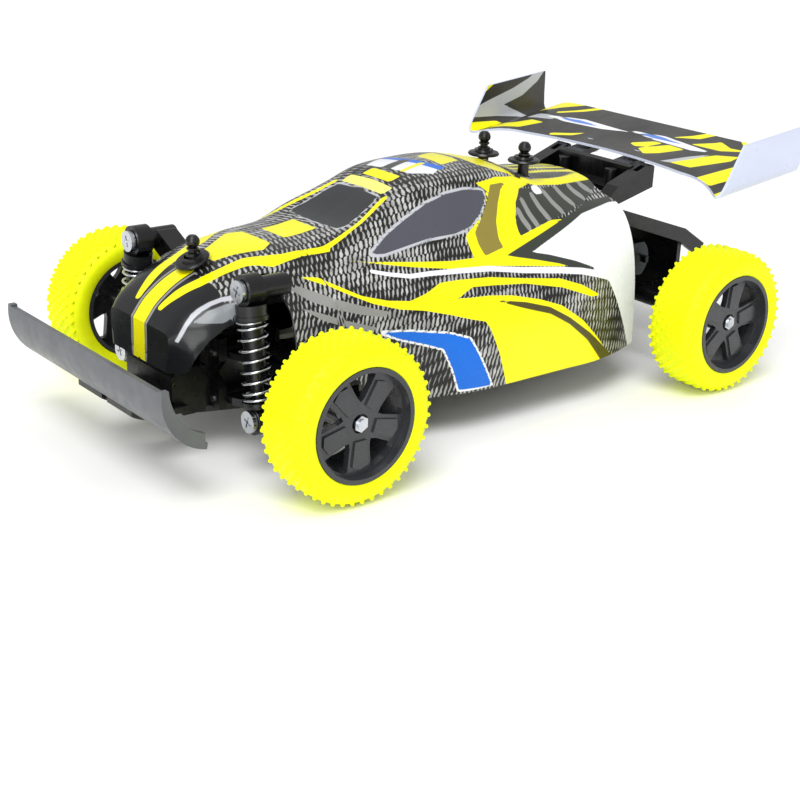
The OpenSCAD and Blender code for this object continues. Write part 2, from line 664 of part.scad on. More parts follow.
module steering_rack() {
    z0 = steer_z - 1.5;
    z1 = steer_z + 1.5;
    color("#19191a") difference() {
        union() {
            block([-18, steer_y - 1.8, z0], [18, steer_y + 1.8, z1]);
            block([-4.6, steer_y + 1, z0], [4.6, horn_pin_y + 5.2, z1]);
            both_sides() for (y = [[-3.4, -2], [2, 3.4]])
                block([14, steer_y + y[0], steer_z - 2.2], [rack_x, steer_y + y[1], steer_z + 2.2]);
            both_sides() for (y = [[-3.4, -2], [2, 3.4]])
                translate([rack_x, 0, steer_z]) rod_y(steer_y + y[0], steer_y + y[1], 2.2);
            both_sides() block([14, steer_y - 3.4, steer_z - 2.2], [17.8, steer_y + 3.4, steer_z + 2.2]);
            both_sides() translate([rack_x, 0, steer_z]) rod_y(steer_y - 3.4, steer_y + 3.4, 1.5);
        }
        slab_z(z0 - 1, z1 + 1) hull() {
            translate([0, horn_pin_y - 0.2]) circle(1.9, $fn = 32);
            translate([0, horn_pin_y + 1.9]) circle(1.9, $fn = 32);
        }
    }
}

module tie_rod(s) {
    color("#19191a") on_side(s) difference() {
        union() {
            translate([rack_x, 0, steer_z]) rod_y(steer_y - 1.7, steer_y + 1.7, 3);
            block([rack_x + 1.5, steer_y - 1.6, steer_z - 1.4], [kingpin_x - 4, steer_y + 1.6, steer_z + 1.4]);
            block([kingpin_x - 5, steer_y - 4.6, steer_z - 1.5], [kingpin_x + 3.2, steer_y + 3.2, steer_z + 1.2]);
        }
        translate([rack_x, 0, steer_z]) rod_y(steer_y - 5, steer_y + 5, 1.5 + fit);
        block([kingpin_x - 2.05, steer_y - 3.3, steer_z - 3], [kingpin_x + 2.05, steer_y + 1.9, steer_z + 3]);
    }
}

// ---- Front corners ----

module arm(z, thick, shock_mount) {
    fork_y = [[arm_y0 + 3, front_y - 4], [front_y + 4, arm_y1 - 3]];
    difference() {
        union() {
            translate([arm_in_x, 0, z]) rod_y(arm_y0, arm_y1, 3.1);
            slab_z(z - thick / 2, z + thick / 2) polygon([[arm_in_x + 1, arm_y0], [arm_in_x + 7, arm_y0],
                [arm_in_x + 15, arm_y0 + 3.6], [arm_out_x, arm_y0 + 3.6], [arm_out_x, arm_y1 - 3],
                [arm_out_x - 6, arm_y1 - 3], [arm_in_x + 10, arm_y1], [arm_in_x + 1, arm_y1]]);
            for (y = fork_y) translate([arm_out_x, 0, z]) rod_y(y[0], y[1], 2.9);
            if (shock_mount) {
                translate([shock_foot.x, 0, shock_foot.y]) rod_y(shock_y1 + 0.3, arm_y0 + 6, 3.4);
                translate([shock_foot.x, 0, shock_foot.y]) rod_y(shock_y0 - 0.3, shock_y1 + 1, stud_r);
            }
        }
        translate([arm_in_x, 0, z]) rod_y(arm_y0 - 1, arm_y1 + 1, pin_r + fit);
        translate([arm_out_x, 0, z]) rod_y(arm_y0 - 1, arm_y1 + 1, pin_r + fit);
        block([arm_out_x - 5.4, front_y - 4, z - 6], [arm_out_x + 6, front_y + 4, z + 6]);
        slab_z(z - thick, z + thick) polygon([[arm_in_x + 6, front_y - 5], [arm_out_x - 13, front_y - 3],
            [arm_out_x - 13, front_y + 3], [arm_in_x + 6, front_y + 5]]);
        if (shock_mount) translate([shock_foot.x, 0, shock_foot.y]) rod_y(shock_y0 - 1, shock_y1, 1);
    }
}

module lower_arm(s) {
    color("#1b1b1c") on_side(s) arm(arm_low_z, 3.2, true);
}

module upper_arm(s) {
    color("#1b1b1c") on_side(s) arm(arm_up_z, 2.6, false);
}

module upright(s) {
    color("#222224") on_side(s) difference() {
        union() {
            block([arm_out_x - 2.5, front_y - jaw_half, arm_low_z], [arm_out_x + 1.5, front_y + jaw_half, arm_up_z]);
            for (z = [arm_low_z, arm_up_z])
                translate([arm_out_x, 0, z]) rod_y(front_y - jaw_half, front_y + jaw_half, 2.9);
            for (z = [[24.5, 27.5], [36.5, 39.5]]) {
                block([arm_out_x, front_y - jaw_half, z[0]], [kingpin_x, front_y + jaw_half, z[1]]);
                translate([kingpin_x, front_y, 0]) rod_z(z[0], z[1], jaw_half);
            }
        }
        translate([kingpin_x, front_y, 0]) rod_z(20, 45, kingpin_r);
        for (z = [arm_low_z, arm_up_z]) translate([arm_out_x, 0, z]) rod_y(front_y - 9, front_y + 9, pin_r);
    }
}

// Kingpin and the two outer hinge pins, all held by the upright
module kingpin(s) {
    color("#b9bcc0") on_side(s) {
        translate([kingpin_x, front_y, 0]) rod_z(24.5, 41, kingpin_r);
        translate([kingpin_x, front_y, 0]) rod_z(39.5, 41, 2.5);
        for (z = [arm_low_z, arm_up_z]) translate([arm_out_x, 0, z]) rod_y(arm_y0 + 2.4, arm_y1 - 2.4, pin_r);
    }
}

module knuckle(s) {
    color("#1e1e20") on_side(s) difference() {
        union() {
            translate([kingpin_x, front_y, 0]) rod_z(27.8, 36.2, 3.5);
            translate([0, front_y, axle_z]) rod_x(kingpin_x, kingpin_x + 5.2, 4);
            translate([0, front_y, axle_z]) rod_x(kingpin_x, kingpin_x + 6.6, 2.9);
            block([kingpin_x - 2.6, front_y, 33.2], [kingpin_x + 2.6, steer_y, 36]);
            translate([kingpin_x, steer_y, 0]) rod_z(33.2, 36, 2.8);
            translate([kingpin_x, steer_y, 0]) rod_z(28, 34, 1.5);
        }
        translate([kingpin_x, front_y, 0]) rod_z(20, 45, kingpin_r + fit);
        translate([0, front_y, axle_z]) rod_x(kingpin_x + 2, kingpin_x + 8, axle_r);
    }
}

// Steel stub axle with its lock nut
module stub_axle(s) {
    x0 = front_track / 2 + 6.2;
    color("#c9cbd0") on_side(s) translate([0, front_y, axle_z]) {
        rod_x(kingpin_x + 2, x0 + 3.4, axle_r);
        lock_nut(x0);
    }
}

// Hexagonal lock nut round an axle along X
module lock_nut(x0) {
    difference() {
        translate([x0, 0, 0]) rotate([0, 90, 0]) cylinder(d = 6.4, h = 2.6, $fn = 6);
        rod_x(x0 - 1, x0 + 4, axle_r);
    }
}

module at_shock_top(s) {
    on_side(s) translate([shock_top.x, 0, shock_top.y]) rotate([0, -shock_lean, 0]) children();
}

module shock_body(s) {
    color("#17171a") at_shock_top(s) difference() {
        union() {
            rod_y(shock_y0, shock_y1, 6);
            translate([0, shock_mid_y, 0]) {
                rod_z(-9.4, -5.4, 5.9);
                rod_z(seat_top, -9.4, 6.5);
                rod_z(-34.8, seat_top, 4.2);
            }
        }
        rod_y(shock_y0 - 1, shock_y1 + 1, stud_r + fit);
        translate([0, shock_mid_y, 0]) rod_z(-36, -14, 2.6 + fit);
    }
}

module shock_rod(s) {
    color("#1b1b1e") at_shock_top(s) difference() {
        union() {
            translate([0, 0, -shock_len]) rod_y(shock_y0, shock_y1, 5.4);
            translate([0, shock_mid_y, 0]) {
                rod_z(4.6 - shock_len, 7 - shock_len, 4.2);
                rod_z(5.8 - shock_len, seat_foot, 6.2);
                rod_z(seat_foot, -20.5, 2.6);
            }
        }
        translate([0, 0, -shock_len]) rod_y(shock_y0 - 1, shock_y1 + 1, stud_r + foot_play);
    }
}

module shock_spring(s) {
    color("#d5d7da") at_shock_top(s) translate([0, shock_mid_y, 0])
        coil_spring(spring_d / 2, wire_d, seat_foot, seat_top, 8.5);
}

module shock_foot_screw(s) {
    color("#cfd1d4") on_side(s) translate([shock_foot.x, shock_y0 - 0.3, shock_foot.y]) shock_screw();
}

// ---- Wheels, drawn round the X axis with the outer face towards +X ----

rim_in_r = rim_d / 2 - 1.8;
rim_seat_r = rim_d / 2 - 0.2;
module tyre(width) {
    half = width / 2;
    r = tyre_d / 2;
    rotate([0, 90, 0]) rotate_extrude($fn = 96) polygon([[rim_seat_r, -half + 0.6], [rim_seat_r, half - 1.4],
        [rim_d / 2 + 0.6, half - 0.2], [r - 6.5, half], [r - 3, half - 1], [r - 0.9, half - 3.2], [r, half - 6],
        [r, 6 - half], [r - 0.9, 3.2 - half], [r - 3, 1 - half], [r - 6.5, -half], [rim_d / 2 + 1, 0.2 - half]]);
}

face_x = 6.2;
module rim_wheel(width, spoke_at, bore_r) {
    half = width / 2;
    difference() {
        union() {
            rotate([0, 90, 0]) rotate_extrude($fn = 96) polygon([[rim_in_r, -half + 0.6], [rim_seat_r, -half + 0.6],
                [rim_seat_r, half - 1.4], [rim_d / 2, half - 1.2], [rim_d / 2, half - 0.5], [rim_in_r, half - 0.5]]);
            slab_x(face_x - 1, face_x + 1.8) difference() {
                circle(rim_in_r + 0.4, $fn = 96);
                for (k = [0 : spokes - 1]) rotate(spoke_at + (k + 0.5) * 360 / spokes) spoke_window();
            }
            for (k = [0 : spokes - 1]) slab_x(face_x, face_x + 2.6) rotate(spoke_at + k * 360 / spokes)
                polygon([[6.5, -2.6], [rim_in_r - 4, -3.6], [rim_in_r - 2.6, 0], [rim_in_r - 4, 3.6], [6.5, 2.6]]);
            rod_x(-half + 0.8, face_x + 1.8, 5);
        }
        rod_x(face_x, face_x + 3, 3.7);
        rod_x(-half, face_x + 3, bore_r);
    }
}

// Opening between two spokes, its apex towards the hub
module spoke_window() {
    polygon([[8.2, 0], [10, -1.7], [17.6, -6.2], [18.8, -4.6], [19.3, 0], [18.8, 4.6], [17.6, 6.2], [10, 1.7]]);
}

module front_tyre(s) {
    color("#e6f500") on_side(s) translate([front_track / 2, front_y, axle_z]) tyre(front_tyre_w);
}

module front_rim(s) {
    color("#38393c") on_side(s) translate([front_track / 2, front_y, axle_z])
        rim_wheel(front_tyre_w, 54, axle_r + fit);
}

module rear_tyre(s) {
    color("#e6f500") on_side(s) translate([rear_track / 2, rear_y, axle_z]) tyre(rear_tyre_w);
}

module rear_rim(s) {
    color("#38393c") on_side(s) translate([rear_track / 2, rear_y, axle_z]) rim_wheel(rear_tyre_w, 80, axle_r);
}

// ---- Gearbox pod ----

module case_outline(grow) {
    hull() {
        translate(axle_at) circle(13 + grow, $fn = 32);
        translate(layshaft_at) circle(11.8 + grow, $fn = 32);
        translate(motor_at) circle(4 + grow, $fn = 32);
    }
}

module gearcase_left() {
    color("#151516") difference() {
        union() {
            slab_x(0, case_x1) case_outline(1.8);
            translate([0, rear_y, axle_z]) rod_x(case_x1 - 1, 58, 4.2);
            pod_arm(0, case_x1);
            translate([0, pod_pivot.x, pod_pivot.y]) rod_x(0, 20.3, 4.6);
        }
        slab_x(-1, case_x1 - 1.6) case_outline(0);
        case_bores(-1, 60);
        translate([0, motor_at.x, motor_at.y]) rod_x(0, case_x1 + 1, 3.1);
    }
}

module gearcase_right() {
    color("#151516") difference() {
        union() {
            slab_x(case_x0, 0) case_outline(1.8);
            translate([0, rear_y, axle_z]) rod_x(-58, case_x0 + 1, 4.2);
            pod_arm(case_x0, 0);
            translate([0, pod_pivot.x, pod_pivot.y]) rod_x(-20.3, 0, 4.6);
            block([-20, 94, 43.5], [case_x0 + 1, 106, 45.5]);
            block([-20, 94, 36], [-18, 106, 44]);
            block([-20, 94, 36], [case_x0 + 1, 106, 38]);
            translate([-15, 100, 0]) rod_z(45, 49, 2.8);
        }
        slab_x(case_x0 + 1.6, 1) case_outline(0);
        case_bores(-60, 1);
    }
}

// Arm from the gearcase forward to its hinge
module pod_arm(x0, x1) {
    slab_x(x0, x1) polygon([[pod_pivot.x, pod_pivot.y - 4.5], [pod_pivot.x, pod_pivot.y + 4.5],
        [layshaft_at.x - 12, layshaft_at.y + 3], [layshaft_at.x - 9, layshaft_at.y - 11]]);
}

module case_bores(x0, x1) {
    translate([0, rear_y, axle_z]) rod_x(x0, x1, axle_r + fit);
    translate([0, pod_pivot.x, pod_pivot.y]) rod_x(-30, 30, 2 + fit);
    translate([0, layshaft_at.x, layshaft_at.y]) rod_x(case_x0 - 0.1, case_x1 + 0.1, 1.8 + fit);
}

motor_x0 = case_x1;
motor_len = 25;
module drive_motor() {
    color("#a9adb3") translate([0, motor_at.x, motor_at.y]) difference() {
        union() {
            slab_x(motor_x0, motor_x0 + motor_len) intersection() {
                circle(10);
                square([30, 15.4], center = true);
            }
            rod_x(motor_x0 - 1.4, motor_x0, 3);
            rod_x(motor_x0 + motor_len, motor_x0 + motor_len + 1.5, 3);
            for (y = [-6, 6]) block([motor_x0 + motor_len, y - 1, -1.5], [motor_x0 + motor_len + 3, y + 1, 1.5]);
        }
        rod_x(motor_x0 - 3, motor_x0 + 8, 1 + fit);
    }
}

module motor_pinion() {
    color("#c9a84a") translate([0, motor_at.x, motor_at.y]) {
        gear(pinion_teeth, high_angle + 180 + 180 / pinion_teeth, 2.6, 7.2);
        rod_x(2.2, motor_x0 + 7.5, 1);
    }
}

module reduction_gear() {
    color("#e9e9e4") translate([0, layshaft_at.x, layshaft_at.y]) {
        gear(large_teeth, high_angle, 3, 6.6);
        gear(small_teeth, low_angle + 180 + 180 / small_teeth, -3.6, 3);
        rod_x(case_x0 + 0.2, case_x1 - 0.2, 1.8);
    }
}

module axle_gear() {
    color("#e9e9e4") translate([0, rear_y, axle_z]) difference() {
        union() {
            gear(axle_teeth, low_angle, -3.2, 1.6);
            rod_x(-4.2, 2.6, 4);
        }
        rod_x(-10, 10, axle_r);
    }
}

nut_x = rear_track / 2 + face_x;
module rear_axle() {
    color("#c9cbd0") translate([0, rear_y, axle_z]) {
        rod_x(-nut_x - 3.4, nut_x + 3.4, axle_r);
        both_sides() lock_nut(nut_x);
    }
}

module rear_spring() {
    color("#d5d7da") translate([-15, 100, 0]) coil_spring(4.5, wire_d, 45.5, 68.6, 6.5);
}

chassis_tub();
front_bulkhead();
front_bumper();
front_shock_tower();
shock_top_screws();
front_hinge_pins();
body_posts();
post_washers();
body_shell();
rear_frame();
wing_mount();
rear_wing();
tail_cover();
battery_pack();
battery_cover();
circuit_board();
steering_servo();
frame_screws();
pod_hinge_pin();
power_switch();
servo_horn();
steering_rack();
tie_rod(1);  // left_tie_rod
tie_rod(-1);  // right_tie_rod
lower_arm(1);  // left_lower_arm
lower_arm(-1);  // right_lower_arm
upper_arm(1);  // left_upper_arm
upper_arm(-1);  // right_upper_arm
upright(1);  // left_upright
upright(-1);  // right_upright
kingpin(1);  // left_kingpin
kingpin(-1);  // right_kingpin
knuckle(1);  // left_knuckle
knuckle(-1);  // right_knuckle
stub_axle(1);  // left_stub_axle
stub_axle(-1);  // right_stub_axle
shock_body(1);  // left_shock_body
shock_body(-1);  // right_shock_body
shock_rod(1);  // left_shock_rod
shock_rod(-1);  // right_shock_rod
shock_spring(1);  // left_shock_spring
shock_spring(-1);  // right_shock_spring
shock_foot_screw(1);  // left_shock_screw
shock_foot_screw(-1);  // right_shock_screw
front_tyre(1);  // left_front_tyre
front_tyre(-1);  // right_front_tyre
front_rim(1);  // left_front_rim
front_rim(-1);  // right_front_rim
gearcase_left();
gearcase_right();
drive_motor();
motor_pinion();
reduction_gear();
axle_gear();
rear_axle();
rear_spring();
rear_tyre(1);  // left_rear_tyre
rear_tyre(-1);  // right_rear_tyre
rear_rim(1);  // left_rear_rim
rear_rim(-1);  // right_rear_rim
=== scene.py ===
"""Looks of the off-road buggy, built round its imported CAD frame.

Shapes are typed in millimetres and scaled to metres.
The nose points to -Y, the car's left is +X, and the ground is z = 0.
"""

import math

import bmesh
import bpy
import numpy as np
from mathutils import Matrix, Vector


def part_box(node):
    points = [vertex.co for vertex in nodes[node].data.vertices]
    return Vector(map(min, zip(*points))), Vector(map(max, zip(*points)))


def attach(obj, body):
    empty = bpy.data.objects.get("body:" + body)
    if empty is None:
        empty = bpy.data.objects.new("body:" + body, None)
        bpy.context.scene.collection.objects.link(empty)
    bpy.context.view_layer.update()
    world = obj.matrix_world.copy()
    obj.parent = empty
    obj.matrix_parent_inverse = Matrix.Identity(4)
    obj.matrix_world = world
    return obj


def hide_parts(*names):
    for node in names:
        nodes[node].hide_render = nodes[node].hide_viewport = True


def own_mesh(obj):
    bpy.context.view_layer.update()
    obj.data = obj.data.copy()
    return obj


MM = 0.001
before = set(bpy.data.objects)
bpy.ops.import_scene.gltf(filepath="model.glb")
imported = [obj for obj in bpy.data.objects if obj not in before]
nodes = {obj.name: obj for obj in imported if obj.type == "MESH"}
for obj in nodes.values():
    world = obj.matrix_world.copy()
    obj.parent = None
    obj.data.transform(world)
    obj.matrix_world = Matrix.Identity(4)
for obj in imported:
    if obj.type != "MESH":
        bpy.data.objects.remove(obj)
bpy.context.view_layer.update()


# ---- Materials ----


def rgb(code):
    """A linear colour from a hex code."""
    values = [int(code[i : i + 2], 16) / 255 for i in (0, 2, 4)]
    return tuple(v / 12.92 if v <= 0.04045 else ((v + 0.055) / 1.055) ** 2.4 for v in values) + (1.0,)


def shade_of(colour, factor):
    return tuple(min(1.0, c * factor) for c in colour[:3]) + (1.0,)


class Look:
    """A material being wired. add() makes one node; inputs take a value or another node's output."""

    def __init__(self, name):
        self.material = bpy.data.materials.new(name)
        self.material.use_nodes = True
        self.tree = self.material.node_tree
        self.shader = self.tree.nodes["Principled BSDF"]
        self.place = self.add("TexCoord").outputs["Object"]

    def add(self, kind, values=None, **settings):
        node = self.tree.nodes.new("ShaderNode" + kind)
        for key, value in settings.items():
            setattr(node, key, value)
        for key, value in (values or {}).items():
            self.put(node.inputs[key], value)
        return node

    def put(self, socket, value):
        if isinstance(value, bpy.types.NodeSocket):
            self.tree.links.new(value, socket)
        else:
            socket.default_value = value

    def set(self, **values):
        for key, value in values.items():
            self.put(self.shader.inputs[key.replace("_", " ")], value)

    def noise(self, size_mm, detail=2.0, stretch=(1, 1, 1), distortion=0.0):
        """Noise whose blotches are about size_mm across, longer along an axis by its stretch."""
        scale = tuple(1 / (size_mm * MM * s) for s in stretch)
        place = self.add("Mapping", {"Vector": self.place, "Scale": scale}).outputs["Vector"]
        values = {"Vector": place, "Scale": 1.0, "Detail": detail, "Distortion": distortion}
        node = self.add("TexNoise", values)
        return node.outputs["Fac"]

    def span(self, value, low, high, start=0.3, end=0.7):
        """value from start..end, spread over low..high."""
        sizes = {"Value": value, "From Min": start, "From Max": end, "To Min": low, "To Max": high}
        return self.add("MapRange", sizes).outputs["Result"]

    def mix(self, factor, a, b):
        node = self.add("Mix", data_type="RGBA")
        for socket, value in zip((node.inputs[0], node.inputs[6], node.inputs[7]), (factor, a, b)):
            self.put(socket, value)
        return node.outputs[2]

    def bump(self, height, depth_mm, strength):
        values = {"Height": height, "Distance": depth_mm * MM, "Strength": strength}
        return self.add("Bump", values).outputs["Normal"]


def shaded(look, marks, colour, spread):
    """colour, darker and lighter by spread where the marks are low and high."""
    return look.mix(look.span(marks, 0, 1), shade_of(colour, 1 - spread), shade_of(colour, 1 + spread))


def moulded(name, colour, rough, grain_mm=0.35, depth_mm=0.03, spread=0.3, **shader):
    """Moulded plastic: faint flow marks in its colour, a fine grain, and shinier rubbed patches."""
    look = Look(name)
    flow = look.noise(14, 4, (1, 1.6, 1), 0.4)
    grain = look.noise(grain_mm, 3)
    rub = look.noise(5, 3)
    look.set(
        Base_Color=shaded(look, flow, colour, spread),
        Roughness=look.span(rub, rough - 0.07, rough + 0.07),
        Normal=look.bump(grain, depth_mm, 0.6),
        **shader,
    )
    return look.material


def metal(name, colour, rough, stretch=(1, 1, 1), spread=0.12, **shader):
    """Metal with drawn or turned marks along its stretch and duller handled patches."""
    look = Look(name)
    marks = look.noise(0.25, 3, stretch)
    dull = look.noise(3, 3)
    look.set(
        Base_Color=shaded(look, dull, colour, spread),
        Metallic=1.0,
        Roughness=look.span(dull, rough - 0.06, rough + 0.1),
        Normal=look.bump(marks, 0.012, 0.5),
        **shader,
    )
    return look.material


def rubber(name):
    """Bright soft rubber with faint cloudy patches and a fine matt skin."""
    look = Look(name)
    bloom = look.noise(9, 4)
    skin = look.noise(0.5, 3)
    look.set(
        Base_Color=look.mix(look.span(bloom, 0, 1), rgb("e8f400"), rgb("f6ff00")),
        Roughness=look.span(look.noise(4, 3), 0.5, 0.68),
        Normal=look.bump(skin, 0.05, 0.6),
        Specular_IOR_Level=0.25,
    )
    return look.material


LOOKS = {
    "black_plastic": moulded("black_nylon", rgb("09090b"), 0.3),
    # The bumper is black plastic; its mid-grey colour is painted sheen, standing in for the bright light its
    # face reflects.
    "grey_plastic": moulded("bumper_painted_sheen_grey", rgb("56595d"), 0.36, spread=0.14),
    "steel": metal("zinc_steel", rgb("c9ccd1"), 0.24, (4, 1, 4)),
    "spring_wire": metal("spring_wire", rgb("d3d5d9"), 0.16, (1, 1, 3)),
    "rim_plastic": moulded(
        "rim_graphite", rgb("303134"), 0.3, depth_mm=0.015, spread=0.16, Coat_Weight=0.25
    ),
    "nylon": moulded("natural_nylon", rgb("dedccf"), 0.4, spread=0.08),
    "brass": metal("pinion_brass", rgb("c49a4c"), 0.25),
    "motor_steel": metal("motor_can", rgb("3d4044"), 0.28, (1, 5, 5)),
    "board": moulded("board_green", rgb("1d6b3a"), 0.34, 0.8, 0.05, 0.35),
    "battery_wrap": moulded("battery_wrap", rgb("2a57a0"), 0.22, 1.5, 0.06, 0.15),
    "servo_case": moulded("servo_case", rgb("1a1f2b"), 0.35),
    "tyre_rubber": rubber("tyre_rubber"),
}
for node in nodes.values():
    for place in node.material_slots:
        slot_name = place.material.name.split(".")[0]
        place.material = LOOKS.get(slot_name, LOOKS["black_plastic"])


# ---- Mesh helpers ----


def mesh_object(name, points_mm, faces, materials, face_materials=None, sharp=32):
    mesh = bpy.data.meshes.new(name)
    mesh.from_pydata((np.asarray(points_mm, float) * MM).tolist(), [], [tuple(map(int, f)) for f in faces])
    for material in materials:
        mesh.materials.append(material)
    if face_materials is not None:
        mesh.polygons.foreach_set("material_index", np.asarray(face_materials, np.int32))
    mesh.polygons.foreach_set("use_smooth", np.ones(len(mesh.polygons), bool))
    mesh.set_sharp_from_angle(angle=math.radians(sharp))
    mesh.update()
    piece = bpy.data.objects.new(name, mesh)
    bpy.context.scene.collection.objects.link(piece)
    return piece


def grid_faces(rows, columns, start=0, flip=False, closed=False):
    """Quads of a grid of points kept row by row; closed joins the last column to the first."""
    r = np.arange(rows - 1)[:, None] * columns
    c = np.arange(columns if closed else columns - 1)[None, :]
    d = (c + 1) % columns
    quads = np.stack([r + c, r + d, r + columns + d, r + columns + c], -1).reshape(-1, 4) + start
    return quads[:, ::-1] if flip else quads


def sheet_solid(outer, inner):
    """Points and faces of a closed sheet between two grids, and how many faces the outer side has."""
    rows, columns = outer.shape[:2]
    count = rows * columns
    faces = [grid_faces(rows, columns), grid_faces(rows, columns, count, True)]
    index = np.arange(count).reshape(rows, columns)
    for line in (index[0, ::-1], index[-1], index[:, 0], index[::-1, -1]):
        a, b = line[:-1], line[1:]
        faces.append(np.stack([b, a, a + count, b + count], -1))
    points = np.vstack([outer.reshape(-1, 3), inner.reshape(-1, 3)])
    return points, np.vstack(faces), len(faces[0])


def grid_normals(grid):
    down = np.gradient(grid, axis=0)
    along = np.gradient(grid, axis=1)
    normal = np.cross(along, down)
    return normal / np.maximum(np.linalg.norm(normal, axis=2, keepdims=True), 1e-9)


def prism(outline, low, high, axis):
    """A closed prism: outline in the two other axes, from low to high along axis."""
    count = len(outline)
    points = [np.insert(p, axis, h) for h in (low, high) for p in np.asarray(outline, float)]
    faces = [tuple(range(count)), tuple(range(2 * count - 1, count - 1, -1))]
    faces += [(i, i + count, (i + 1) % count + count, (i + 1) % count) for i in range(count)]
    return points, faces


def circle(centre, radius, count=32):
    turn = np.linspace(0, 2 * math.pi, count, endpoint=False)
    return [(centre[0] + radius * math.cos(a), centre[1] + radius * math.sin(a)) for a in turn]


def joined(parts):
    points, faces = [], []
    for more_points, more_faces in parts:
        faces += [tuple(int(i) + len(points) for i in f) for f in more_faces]
        points += [tuple(p) for p in more_points]
    return points, faces


def applied(piece):
    """Turns the piece's modifiers into mesh."""
    graph = bpy.context.evaluated_depsgraph_get()
    mesh = bpy.data.meshes.new_from_object(piece.evaluated_get(graph))
    piece.modifiers.clear()
    piece.data = mesh


def coordinates(mesh):
    co = np.zeros(len(mesh.vertices) * 3)
    mesh.vertices.foreach_get("co", co)
    return co.reshape(-1, 3) / MM


# ---- Painted patterns ----
# A pattern is a set of colours, each with a field.
# The field says how far a vertex is inside that colour's area, in millimetres.
# Linear fields keep an edge sharp between vertices.


def inside(points, outline):
    """Signed distance of 2-D points to a closed outline, positive inside."""
    outline = np.asarray(outline, float)
    best = np.full(len(points), 1e9)
    within = np.zeros(len(points), bool)
    for a, b in zip(outline, np.roll(outline, -1, axis=0)):
        edge = b - a
        t = np.clip(((points - a) @ edge) / max(edge @ edge, 1e-9), 0, 1)
        best = np.minimum(best, np.linalg.norm(points - a - t[:, None] * edge, axis=1))
        crosses = (a[1] > points[:, 1]) != (b[1] > points[:, 1])
        at = a[0] + (points[:, 1] - a[1]) * edge[0] / (edge[1] if abs(edge[1]) > 1e-9 else 1e-9)
        within ^= crosses & (points[:, 0] < at)
    return np.where(within, best, -best)


def beside(points, line, widths):
    """How far points are inside a stroke of the given widths along an open line."""
    line = np.asarray(line, float)
    widths = np.interp(np.linspace(0, 1, len(line)), np.linspace(0, 1, len(widths)), widths)
    best = np.full(len(points), -1e9)
    for a, b, wa, wb in zip(line[:-1], line[1:], widths[:-1], widths[1:]):
        edge = b - a
        t = np.clip(((points - a) @ edge) / (edge @ edge), 0, 1)
        away = np.linalg.norm(points - a - t[:, None] * edge, axis=1)
        best = np.maximum(best, (wa + (wb - wa) * t) / 2 - away)
    return best


class Pattern:
    """Coats laid one over another: each new coat is taken out of the coats under it."""

    def __init__(self, views):
        self.views = views
        self.coats = {}

    def lay(self, colour, field):
        for other in self.coats:
            self.coats[other] = np.minimum(self.coats[other], -field)
        self.coats[colour] = np.maximum(self.coats.get(colour, np.full(len(field), -1e3)), field)

    def area(self, colour, view, outline, rim=None, rim_width=0.0, only=None):
        field = inside(self.views[view], outline)
        if only is not None:
            field = np.minimum(field, only)
        if rim:
            self.lay(rim, field + rim_width)
        self.lay(colour, field)

    def stroke(self, colour, view, line, *widths, only=None):
        field = beside(self.views[view], line, widths)
        if only is not None:
            field = np.minimum(field, only)
        self.lay(colour, field)

    def store(self, mesh):
        for colour, field in self.coats.items():
            attribute = mesh.attributes.new("coat_" + colour, "FLOAT", "POINT")
            attribute.data.foreach_set("value", np.clip(field, -20, 20).astype(np.float32))


EDGE_MM = 0.22
EDGE_OVERLAP = 0.75  # the mask at a coat's exact edge


def painted(look, base, coats, palette):
    """base with the pattern's coats over it, overlapping a little so no base shows between them."""
    colour = base
    for coat in coats:
        field = look.add("Attribute", attribute_name="coat_" + coat, attribute_type="GEOMETRY").outputs["Fac"]
        values = {0: field, 1: 1 / EDGE_MM, 2: EDGE_OVERLAP}
        mask = look.add("Math", values, operation="MULTIPLY_ADD", use_clamp=True)
        colour = look.mix(mask.outputs["Value"], colour, palette[coat])
    return colour


PALETTE = {
    "yellow": rgb("f7f000"),
    "pale": rgb("f4ef7a"),
    "white": rgb("eef0f5"),
    "silver": rgb("b9bcc2"),
    "brushed": rgb("8f8f8c"),
    "dark": rgb("353932"),
    "black": rgb("17181a"),
    "olive": rgb("4e4720"),
    "gold": rgb("8a7d35"),
    "blue": rgb("006ad8"),
    "glass": rgb("4e4e58"),
    "screen": rgb("2b2d2f"),
    "band": rgb("7d8286"),
}


# ---- Body shell ----
# Each station: y, height on the centre line, then (x, z) of roof edge, shoulder, belt, bulge and bottom.
STATIONS = np.array([
    [-131, 52.5, 14, 52.5, 21, 52.3, 22, 48, 21, 42, 20, 36],
    [-127, 58, 14, 58, 22.5, 56.5, 26, 51, 28, 44, 28, 36],
    [-121, 63.2, 14, 63.2, 23, 61, 29.5, 55, 32, 46, 33, 36],
    [-107, 70.3, 15, 70, 24, 67.5, 33, 61, 38, 50, 40, 36],
    [-97, 74, 16, 73.5, 26, 71, 38, 65, 46, 57, 48, 30],
    [-83, 77, 17, 77, 26.5, 73, 38, 64.5, 48, 55, 50, 24],
    [-60, 79, 18, 79.3, 27.5, 75.7, 39, 67, 50, 57, 52, 18],
    [-46, 81.8, 17, 82, 26.5, 83, 38.5, 69.5, 53, 54, 53, 18],
    [-27, 91, 16.5, 91.3, 26, 89, 39, 70, 58, 52, 57, 18],
    [-15, 96, 18, 96, 26.5, 92.5, 39.5, 70, 61, 50, 60, 18],
    [5, 98.8, 21, 98.5, 27, 93, 40, 70, 62.5, 49, 61, 18],
    [28, 98.6, 21, 98, 27, 92, 41, 70, 62.5, 48, 61, 18],
    [42, 96, 20, 95, 25, 88.5, 41, 72, 62, 48, 61, 18],
    [56, 90.8, 18, 90.3, 25, 85, 42, 73, 60, 48, 61, 18],
    [72, 89.3, 17, 89, 25, 82.5, 42, 75, 56, 49, 58.5, 18],
    [90, 87.5, 15.5, 87.2, 24, 81.5, 41.5, 78, 52, 52, 52.5, 18],
], float)
